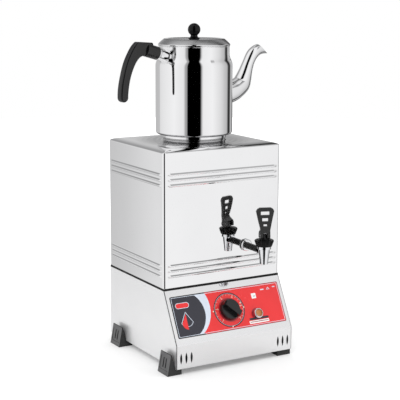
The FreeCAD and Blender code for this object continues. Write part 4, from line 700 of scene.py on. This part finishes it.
class URN_OT_label(bpy.types.Operator):
    """Makes the printed label on the sloped panel, with its dial ring, numbers and blank badges"""
    bl_idname = "urn.label"
    bl_label = "Panel label"
    bl_options = {"REGISTER", "UNDO"}

    def execute(self, context):
        shades = {"charcoal": colours().charcoal, "pale": colours().pale, "red": colours().red,
                  "white": (0.86, 0.86, 0.84), "dark": (0.006, 0.006, 0.008), "maroon": (0.36, 0.02, 0.03),
                  "cream": (0.85, 0.76, 0.6)}
        self.inks = {word: ink(word, shade) for word, shade in shades.items()}
        self.holes = [(*DIAL_SPOT, 5.05), (*LAMP_SPOT, 6.05)]
        line = sizes().label_line / MM
        self.printed("label_film", self.sheet(0, 3), 0.02, 0.40, "dark", True, ["front_label"])
        side, low, high = self.ends(line)
        self.printed("label_red_edge", [(-60, low), (side, low, 2.4), (side, high, 2.4), (-44, high)],
                     PRINT_LOW, 0.41, "red", True)
        self.printed("label_line", self.sheet(2.6 * line, 2), PRINT_LOW, 0.42, "pale", True)
        side, low, high = self.ends(3.6 * line)
        self.printed("label_charcoal", [(-side, low, 1.6), (-72.5, low, 45, 1), (-66, high), (-side, high, 1.6)],
                     PRINT_LOW, 0.44, "charcoal")
        self.printed("label_red", [(-63.5, low), (side, low, 1.6), (side, high, 1.6), (-43.5, high, 59, -1)],
                     PRINT_LOW, 0.44, "red", True)
        self.badges()
        self.dial_ring()
        self.marks()
        return {"FINISHED"}

    def ends(self, inset):
        """The label's half width, bottom and top, less a border."""
        return LABEL_HALF - inset, LABEL_LOW + inset, LABEL_HIGH - inset

    def sheet(self, inset, corner):
        """The label's outline, less a border."""
        side, low, high = self.ends(inset)
        return oblong(-side, low, side, high, corner)

    def printed(self, name, outline, low, high, colour, pierced=False, replaced=(), place=Matrix.Identity(4)):
        """One printed or die-cut layer, between two heights above the panel."""
        bm = moved(prism(outline, low, high), place)
        for across, up, radius in self.holes if pierced else ():
            hole = lathed((0, -1), (radius, -1), (radius, 2), (0, 2), count=64)
            bm = combined(bm, moved(hole, shift(across, up, 0)), "DIFFERENCE")
        piece(name, moved(bm, ON_SLOPE), "urn", self.inks[colour], replaced)

    def round_mark(self, name, spot, outer, inner, low, high, colour, count=96):
        """A printed ring, or a dot where its inner radius is 0."""
        bm = lathed((inner, low), (outer, low), (outer, high), (inner, high), (inner, low), count=count)
        piece(name, moved(bm, shift(*spot, 0), ON_SLOPE), "urn", self.inks[colour])

    def badges(self):
        """A blank pill and a plain drop on the label's dark end."""
        def pill(wide, tall):
            x, y = wide / 2, tall / 2
            round_end = y * 1.001
            return [(-x + y, -y), (x - y, -y, round_end, 1), (x - y, y), (-x + y, y, round_end, 1)]

        def drop(grow):
            return [(0, 19 + 1.7 * grow), (-12.5 - grow, -1.5, 14 + grow, 1), (12.5 + grow, -1.5)]
        at_pill, at_drop = shift(-95, -30.5, 0), shift(-92, -61.5, 0)
        self.printed("blank_pill_edge", pill(29, 10.6), PRINT_LOW, 0.455, "pale", place=at_pill)
        self.printed("blank_pill", pill(27, 8.8), PRINT_LOW, 0.47, "red", place=at_pill)
        self.printed("drop_edge", drop(0), PRINT_LOW, 0.455, "pale", place=at_drop)
        self.printed("drop_field", drop(-1.1), PRINT_LOW, 0.47, "charcoal", place=at_drop)
        half = [(0, 15.2), (-10.6, -1.9, 12.1, 1), (0, -14.2)]
        self.printed("drop_half", half, PRINT_LOW, 0.485, "red", place=at_drop)

    def dial_ring(self):
        """Rings, ticks, numbers and dots round the thermostat's bush, and the knob's painted shadow."""
        # The maroon disc named shade, showing just outside the knob, is the knob's painted shadow.
        for name, outer, high, colour in (("ring", 32.8, 0.46, "dark"), ("ring_line", 30.9, 0.465, "pale"),
                                          ("field", 30.5, 0.475, "maroon"), ("band", 29.4, 0.48, "red"),
                                          ("shade", 22.6, 0.485, "maroon")):
            self.round_mark("dial_" + name, DIAL_SPOT, outer, 5.2, PRINT_LOW, high, colour)
        rim, mid = 29.2, 24.6
        for i in range(21):
            tick = oblong(rim - (3.2 if i % 4 == 0 else 1.7), -0.28, rim, 0.28)
            self.printed("dial_tick_%02d" % i, tick, 0.4, 0.495, "cream",
                         place=shift(*DIAL_SPOT, 0) @ turned("Z", 225 - 13.5 * i))
        for i, number in enumerate(("0", "30", "50", "70", "90", "110")):
            turn = math.radians(225 - 54 * i)
            words = bpy.data.curves.new("dial_number", "FONT")
            words.body = number
            words.size = 3.6 * MM
            words.align_x = words.align_y = "CENTER"
            words.extrude = 0.05 * MM
            text = linked("dial_number", words)
            bpy.context.view_layer.update()
            bm = bmesh.new()
            bm.from_mesh(text.to_mesh())
            bpy.data.objects.remove(text)
            bpy.data.curves.remove(words)
            bm = moved(bm, shift(mid * math.cos(turn), DIAL_SPOT[1] + mid * math.sin(turn), 0.45), ON_SLOPE)
            piece("dial_number_%s" % number, bm, "urn", self.inks["cream"])
        for i, spot in enumerate(((-34, -50.5), (31.5, -51), (-0.8, -83.8), (26.3, -42.2))):
            self.round_mark("dial_dot_%d" % i, spot, 1.3, 0, 0.4, 0.5, "cream", 24)

    def marks(self):
        """Plain marks by the lamp and in the corner, and a painted shadow round the lamp."""
        def block(name, x, down, wide, tall, colour, corner=0.5, high=0.47):
            outline = oblong(x - wide / 2, -down - tall / 2, x + wide / 2, -down + tall / 2, corner)
            self.printed(name, outline, PRINT_LOW, high, colour)
        block("white_square", 58.7, 33, 10, 10, "white", 1.4)
        block("square_mark", 59.6, 33.6, 4.4, 1.1, "charcoal", 0.4, 0.49)
        block("dark_bar", 59, 75.8, 42, 4, "charcoal", 0.3)
        block("white_bar", 58, 81.9, 43, 5.6, "white", 0.3)
        block("bar_line", 58, 81.6, 40, 1.3, "maroon", 0.3, 0.49)
        block("corner_mark_0", 80, 23.4, 8, 2.2, "pale", 0.9)
        block("corner_mark_2", 106.5, 21.2, 6, 1.8, "pale", 0.8)
        self.printed("corner_mark_1", [(89.6, -24.8, 0.6), (97.2, -24.8, 0.6), (93.4, -19.6, 0.6)],
                     PRINT_LOW, 0.47, "pale")
        self.printed("corner_mark_1_field", [(91.4, -24, 0.4), (95.4, -24, 0.4), (93.4, -21.3, 0.4)],
                     PRINT_LOW, 0.48, "red")
        # A maroon ring round the lamp's bezel: its painted shadow.
        self.round_mark("lamp_painted_shadow", (56.4, -67.4), 11.4, 6.1, PRINT_LOW, 0.46, "maroon")


class URN_OT_dial(bpy.types.Operator):
    """Makes the thermostat knob with its grip bar and pointer"""
    bl_idname = "urn.dial"
    bl_label = "Thermostat knob"
    bl_options = {"REGISTER", "UNDO"}

    def execute(self, context):
        knob = eased(copied("thermostat_knob"), 0.0006, 3, 30)
        piece("knob", knob, "dial", knob_plastic(), ["thermostat_knob"])
        return {"FINISHED"}


class URN_OT_lamp(bpy.types.Operator):
    """Makes the indicator lamp"""
    bl_idname = "urn.lamp"
    bl_label = "Indicator lamp"
    bl_options = {"REGISTER", "UNDO"}

    def execute(self, context):
        piece("bezel", eased(copied("lamp_bezel"), 0.0004, 2, 40), "urn", chrome(), ["lamp_bezel"])
        dressed(finish("amber_lens", colours().amber, 0.0, (0.08, 0.14), 80, 0.15, 200, 700, 0.00001, coat=0.4),
                "lamp_lens")
        return {"FINISHED"}


class URN_OT_tap(bpy.types.Operator):
    """Makes the lever tap: a ribbed barrel, a plated body, a fluted cap and the moulded lever"""
    bl_idname = "urn.tap"
    bl_label = "Tap"
    bl_options = {"REGISTER", "UNDO"}

    def execute(self, context):
        for node, slot, material in (("tap_body", "chrome", chrome()), ("tap_flange", "chrome", chrome()),
                                     ("tap_bonnet", "black_plastic", cap_plastic())):
            piece(node.replace("tap", "dressed"), eased(copied(node), 0.0004, 2, 35), "urn", material, [node])
        rim, groove, bore, pitch = 6.1, 5.55, 3.6, 2.7
        ribs = []
        for i in range(13):
            at = 9 + pitch * i
            ribs += [(rim, at), (rim, at + 1.5, 0.3), (groove, at + 1.8), (groove, at + 2.4), (rim, at + pitch)]
        barrel = lathed((bore, -10), (rim, -10), (rim, 8.9), *ribs, (rim, 53.8), (bore, 53.8), (bore, -10), count=64)
        piece("barrel", moved(barrel, ON_BARREL), "urn", black_plastic(), ["tap_barrel"])
        dressed(dark_steel_and_seam_shade(), "valve_stem", "lever_pin")
        dressed(black_rubber(), "tap_washer")
        dressed(cap_plastic(), "lever_washer")
        lever = eased(copied("tap_lever"), sizes().moulded_edge, 3, 30)
        piece("lever", lever, "lever", black_plastic(), ["tap_lever"])
        return {"FINISHED"}


class URN_OT_teapot(bpy.types.Operator):
    """Makes the teapot's turned body and lid, its drawn spout and its moulded handle"""
    bl_idname = "urn.teapot"
    bl_label = "Teapot"
    bl_options = {"REGISTER", "UNDO"}

    def execute(self, context):
        steps = 2 * sizes().turned_steps // 3 * 2
        outside = [(0, -9), (57.4, -9, 1), (57.4, 0.3, 0.3), (60.6, 0.3, 0.5), (60.6, 5, 0.4), (64, 5.35, 0.6),
                   (67.6, 6, 5, 1), (72.6, 11), (72.6, 133, 24.777, 1), (69.5, 145, 24.777, -1), (66.4, 157)]
        solid = lathed(*outside, (66.4, 169), (0, 169), count=96)
        inside = [(65.5, 172, 0.4), (65.5, 157, 25.677, 1), (68.6, 145, 23.877, -1), (71.7, 133), (71.7, 11, 4.1, -1),
                  (67.6, 6.9), (59.7, 5.9), (59.7, 1.2), (56.5, 1.2), (56.5, -8.1), (0, -8.1)]
        body = lathed(*outside, (66.4, 169.84), (67.3, 170.5, 0.4), (67.3, 171.5, 0.4), (66.7, 172, 0.3), *inside,
                      (0, -9), count=steps)
        outlet = lathed((0, 10), (18.7, 10), (18.7, 90), (0, 90), count=64)
        body = combined(body, moved(outlet, shift(0, 0, 75) @ turned("Y", 90)), "DIFFERENCE")
        bolt = lathed((0, -12), (2.55, -12), (2.55, 12), (0, 12), count=24)
        body = combined(body, moved(bolt, shift(-66.4, 0, 153.5) @ turned("Y", -75)), "DIFFERENCE")
        piece("teapot_body", moved(body, AT_POT), "teapot", pot_steel(), ["pot_body"], 40)
        self.spout(solid)
        self.lid()
        for node, width in (("handle_plate", 0.0011), ("handle_ferrule", 0.0006)):
            piece(node.replace("handle", "chrome"), eased(copied(node), width, 3, 40), "teapot",
                  pot_steel(), [node])
        piece("grip", copied("handle_grip"), "teapot", handle_plastic(), ["handle_grip"], 40)
        dressed(plain_steel(), "spout_strainer")
        return {"FINISHED"}

    def spout(self, solid):
        """A drawn tube from the teapot's wall, with a hollow cut at its mouth."""
        spots = [(-16, -3.2, 0.96), (-2, -0.6, 0.97), (12, 2, 0.98), (25, 5.6, 0.97), (36, 10.8, 0.94),
                 (47, 18.1, 0.88), (53.3, 29.2, 0.77), (57.9, 40, 0.665), (62, 49.9, 0.595), (66.8, 60, 0.55),
                 (71.9, 68.9, 0.55), (77.5, 75.6, 0.56), (84.5, 80.6, 0.55), (92.3, 83.8, 0.525), (101, 85.4, 0.505),
                 (110, 85.8, 0.5), (119.3, 85.6, 0.5)]
        outer = [(72.6 + x, 75 + z, 20.6 * r) for x, z, r in spots]
        bore = [(outer[0][0] - 4, outer[0][1] - 1, outer[0][2])] + outer[1:-1]
        bore += [(outer[-1][0] + 4, outer[-1][1] - 0.6, outer[-1][2])]
        tube = combined(pipe(outer), pipe(bore, 0.9), "DIFFERENCE")
        mouth = moved(lathed((0, -41.2), (45, -41.2), (45, 41.2), (0, 41.2), count=128),
                      shift(198.8, 0, 194.28) @ turned("X", 90))
        tube = combined(combined(tube, mouth, "DIFFERENCE"), solid, "DIFFERENCE")
        piece("spout", moved(tube, AT_POT), "teapot", pot_steel(), ["pot_spout"], 45)

    def lid(self):
        """The lid with its satin cone, its dark ring and its recess, both darkened as painted shade, and the ball on
        top.
        """
        lid = lathed((63.7, 164.3), (64.6, 164.3, 0.3), (64.6, 172.3), (67.8, 172.3, 0.4), (67.8, 173.8, 60, 1),
                     (57.7, 183.2, 5.4, 1), (54.4, 184.3), (50, 184.6, 0.5), (48.4, 183.7, 0.4), (46.4, 183.5, 0.5),
                     (12.5, 182.1), (2.05, 182.1), (2.05, 181.2), (12.5, 181.2), (46.2, 182.5), (50.2, 183.6, 0.5),
                     (54.2, 183.35), (57, 182.4), (63.7, 176.1), (63.7, 164.3))
        # Index 1, the recess and the outer cone, takes the darkened satin steel, painted shade in the recess; index
        # 2, a thin ring outside the crest, takes the dark seam steel as a painted shade line.
        for face in lid.faces:
            spot = face.calc_center_median() / MM
            across = math.hypot(spot.x, spot.y)
            if (across < 49.9 and spot.z > 181.9) or (57.9 < across < 66.9 and spot.z > 174.5):
                face.material_index = 1
            elif 55.9 < across < 57.9 and spot.z > 183.2:
                face.material_index = 2
        piece("lid", moved(lid, AT_POT), "lid", lid_steel(), ["pot_lid"], 40,
              [recess_steel(), dark_steel_and_seam_shade()])
        knob = lathed((2.05, 182.1), (8.8, 182.1), (11, 184.3, 0.6), (11, 185.4, 5.5, -1), (6.6, 188.7),
                      (6.6, 190.8, 11.9, 1), (0.595, 212.585), (0, 212.585), count=96)
        piece("lid_ball", moved(knob, AT_POT), "lid", ball_plastic(), ["lid_knob"], 40)


class URN_OT_inside(bpy.types.Operator):
    """Gives the hidden pieces their finishes"""
    bl_idname = "urn.inside"
    bl_label = "Hidden pieces"
    bl_options = {"REGISTER", "UNDO"}

    def execute(self, context):
        dressed(plain_steel(), "heating_element", "thermowell", "valve_spring")
        dressed(zinc(), "tank_screws", "element_washers", "element_nuts", "lamp_nut", "tap_inner_washer",
                "tap_locknut", "handle_screw", "lid_nut", "thermostat_spindle", "earth_stud", "capillary")
        dressed(black_plastic(), "thermostat_body", "limit_thermostat")
        dressed(black_rubber(), "cable_gland")
        dressed(finish("silicone", (0.6, 0.6, 0.57), 0.0, (0.4, 0.5)), "seat_cup")
        dressed(finish("glazed_ceramic", (0.75, 0.73, 0.68), 0.0, (0.2, 0.3)), "terminal_block")
        dressed(finish("wire_sleeve", (0.4, 0.33, 0.22), 0.0, (0.5, 0.7), 200, 0.2, 300, 900, 0.0001), "heater_wires")
        return {"FINISHED"}


# Studio

# The solved camera: sensor in mm, focal length and picture in pixels, turn, dip and roll in degrees, then metres.
SENSOR, FOCAL, PICTURE = 36, 1129.3, 400
CAMERA_TURNS = -30.417, 10.542, 0.192
AIM_HEIGHT, AWAY, ASIDE = 0.28454, 2.1703, 0.013

# How bright glossy surfaces see the room, by angle in degrees round the urn.
REFLECTED = ((-180, 0.94), (-151, 0.84), (-145, 0.38), (-140.5, 0.34), (-139, 0.0), (-100.5, 0.0), (-96, 0.60),
             (-92, 0.90), (-63, 0.95), (-49, 0.86), (-34, 0.77), (-26, 0.70), (-17, 0.60), (-4, 0.50), (2, 0.10),
             (9, 0.0), (13, 0.05), (20, 0.40), (26, 0.54), (32, 0.50), (38, 0.06), (51, 0.04), (54.5, 0.42),
             (57, 0.48), (61, 0.52), (65, 0.62), (85, 0.52), (112, 0.56), (115.7, 0.56), (118.2, 0.78), (135, 0.84),
             (180, 0.95))


def studio_world():
    """A white room. Glossy surfaces see its darker corners, and the gap behind the camera."""
    world = bpy.data.worlds.new("studio")
    bpy.context.scene.world = world
    world.use_nodes = True
    tree = world.node_tree
    tree.nodes.clear()
    link = tree.links.new
    parts = added(tree, "SeparateXYZ")
    link(added(tree, "TexCoord").outputs["Generated"], parts.inputs[0])
    x, y, z = parts.outputs
    walls = added(tree, "ValToRGB")
    stops = walls.color_ramp.elements
    while len(stops) < len(REFLECTED):
        stops.new(0.5)
    for stop, (angle, shade) in zip(stops, REFLECTED):
        stop.position = (angle + 180) / 360
    for stop, (angle, shade) in zip(stops, REFLECTED):
        stop.color = (shade, shade, shade * 1.005, 1)
    link(ranged(tree, worked(tree, "ARCTAN2", y, x), (-math.pi, math.pi)), walls.inputs["Fac"])
    # The beads of the left wall look up at a dim corner, and those of the front at an even patch of ceiling.
    corner = worked(tree, "MULTIPLY", ranged(tree, z, (0.2, 0.42)), ranged(tree, y, (0.55, 0.75), (0, 0.75)))
    room = blended(tree, "DARKEN", corner, walls.outputs["Color"], (0.26, 0.26, 0.265))
    patch = worked(tree, "MULTIPLY", ranged(tree, z, (0.52, 0.74)), worked(tree, "COMPARE", x, 0.49, 0.08))
    patch = worked(tree, "MULTIPLY", patch, ranged(tree, y, (-0.2, -0.4)))
    room = blended(tree, "MIX", patch, room, (0.27, 0.27, 0.275))
    mirrored = added(tree, "Background")
    link(room, mirrored.inputs["Color"])
    seen = added(tree, "Background", {"Color": (1, 1, 1, 1)})
    light = added(tree, "Background", {"Color": (1, 1, 1, 1), "Strength": 0.85})
    path = added(tree, "LightPath")
    shine = worked(tree, "MAXIMUM", path.outputs["Is Glossy Ray"], path.outputs["Is Transmission Ray"])
    rays = mixed(tree, path.outputs["Is Camera Ray"], mixed(tree, shine, light, mirrored), seen)
    link(rays.outputs[0], added(tree, "OutputWorld").inputs["Surface"])


def floor_material():
    """White floor. Far from the urn, glossy surfaces look past it at the room."""
    made = bpy.data.materials.new("studio_floor")
    made.use_nodes = True
    tree = made.node_tree
    tree.nodes.clear()
    link = tree.links.new
    far = added(tree, "VectorMath", operation="LENGTH")
    link(added(tree, "TexCoord").outputs["Object"], far.inputs[0])
    far = far.outputs["Value"]
    path = added(tree, "LightPath")
    skip = worked(tree, "MULTIPLY", ranged(tree, far, (0.2, 0.5)), path.outputs["Is Glossy Ray"])
    # For camera rays the floor glows, weakly near the urn and more away from it: painted light that whitens the far
    # floor and leaves it darker round the urn.
    painted_floor_glow = worked(tree, "MULTIPLY", path.outputs["Is Camera Ray"], ranged(tree, far, (0.3, 1), (0.2, 0.6)))
    paint = added(tree, "BsdfDiffuse", {"Color": (0.8, 0.8, 0.8, 1)})
    glow = added(tree, "Emission")
    link(painted_floor_glow, glow.inputs["Strength"])
    both = added(tree, "AddShader")
    link(paint.outputs[0], both.inputs[0])
    link(glow.outputs[0], both.inputs[1])
    whole = mixed(tree, skip, both, added(tree, "BsdfTransparent"))
    link(whole.outputs[0], added(tree, "OutputMaterial").inputs["Surface"])
    return made


class URN_OT_stage(bpy.types.Operator):
    """Makes the floor, the soft lights, the white room and the camera"""
    bl_idname = "urn.stage"
    bl_label = "Studio"
    bl_options = {"REGISTER", "UNDO"}

    def execute(self, context):
        scene = bpy.context.scene
        scene.view_settings.view_transform = "Standard"
        studio_world()
        bm = bmesh.new()
        bmesh.ops.create_circle(bm, cap_ends=True, radius=4, segments=96)
        bmesh.ops.translate(bm, verts=bm.verts, vec=(0, 0, -0.0003))
        floor = meshed("studio_floor", bm)
        floor.data.materials.append(floor_material())
        for name, spot, wide, power in (("key", (-1.6, -1.4, 2.4), 1.6, 26), ("fill", (1.9, -1.2, 1.5), 1.4, 12),
                                        ("rear", (0.4, 2.2, 2.2), 1.6, 14)):
            lamp = bpy.data.lights.new(name + "_softbox", "AREA")
            lamp.size = wide
            lamp.energy = power
            thing = linked(name + "_softbox", lamp)
            thing.location = spot
            thing.rotation_euler = (Vector((0, 0, 0.3)) - Vector(spot)).to_track_quat("-Z", "Y").to_euler()
            thing.visible_glossy = False
        camera = bpy.data.cameras.new("photo_camera")
        camera.sensor_width = SENSOR
        camera.lens = SENSOR * FOCAL / PICTURE
        camera.clip_end = 50
        turn, dip, roll = (math.radians(angle) for angle in CAMERA_TURNS)
        ahead = Vector((-math.sin(turn) * math.cos(dip), math.cos(turn) * math.cos(dip), -math.sin(dip)))
        right = ahead.cross(Vector((0, 0, 1))).normalized()
        up = right.cross(ahead)
        right, up = math.cos(roll) * right + math.sin(roll) * up, math.cos(roll) * up - math.sin(roll) * right
        view = linked("photo_camera", camera)
        spot = Vector((0, 0, AIM_HEIGHT)) - ahead * AWAY + right * ASIDE
        view.matrix_world = Matrix.Translation(spot) @ Matrix((right, up, -ahead)).transposed().to_4x4()
        scene.camera = view
        return {"FINISHED"}


MAKERS = (URN_OT_tank, URN_OT_base, URN_OT_feet, URN_OT_label, URN_OT_dial, URN_OT_lamp, URN_OT_tap, URN_OT_teapot,
          URN_OT_inside, URN_OT_stage)


class URN_PT_panel(bpy.types.Panel):
    """Lists the urn's sizes, colours and pieces"""
    bl_idname = "URN_PT_panel"
    bl_label = "Tea urn"
    bl_space_type = "VIEW_3D"
    bl_region_type = "UI"
    bl_category = "Tea urn"

    def draw(self, context):
        column = self.layout.column(align=True)
        for group in (context.scene.urn_sizes, context.scene.urn_colours):
            for word in group.__annotations__:
                column.prop(group, word)
            column.separator()
        for maker in MAKERS:
            column.operator(maker.bl_idname)


CLASSES = (UrnSizes, UrnColours, *MAKERS, URN_PT_panel)


def register():
    for kind in CLASSES:
        bpy.utils.register_class(kind)
    bpy.types.Scene.urn_sizes = bpy.props.PointerProperty(type=UrnSizes)
    bpy.types.Scene.urn_colours = bpy.props.PointerProperty(type=UrnColours)


def unregister():
    del bpy.types.Scene.urn_colours
    del bpy.types.Scene.urn_sizes
    for kind in reversed(CLASSES):
        bpy.utils.unregister_class(kind)


def main():
    register()
    for maker in MAKERS:
        group, name = maker.bl_idname.split(".")
        getattr(getattr(bpy.ops, group), name)()


if __name__ == "__main__":
    main()
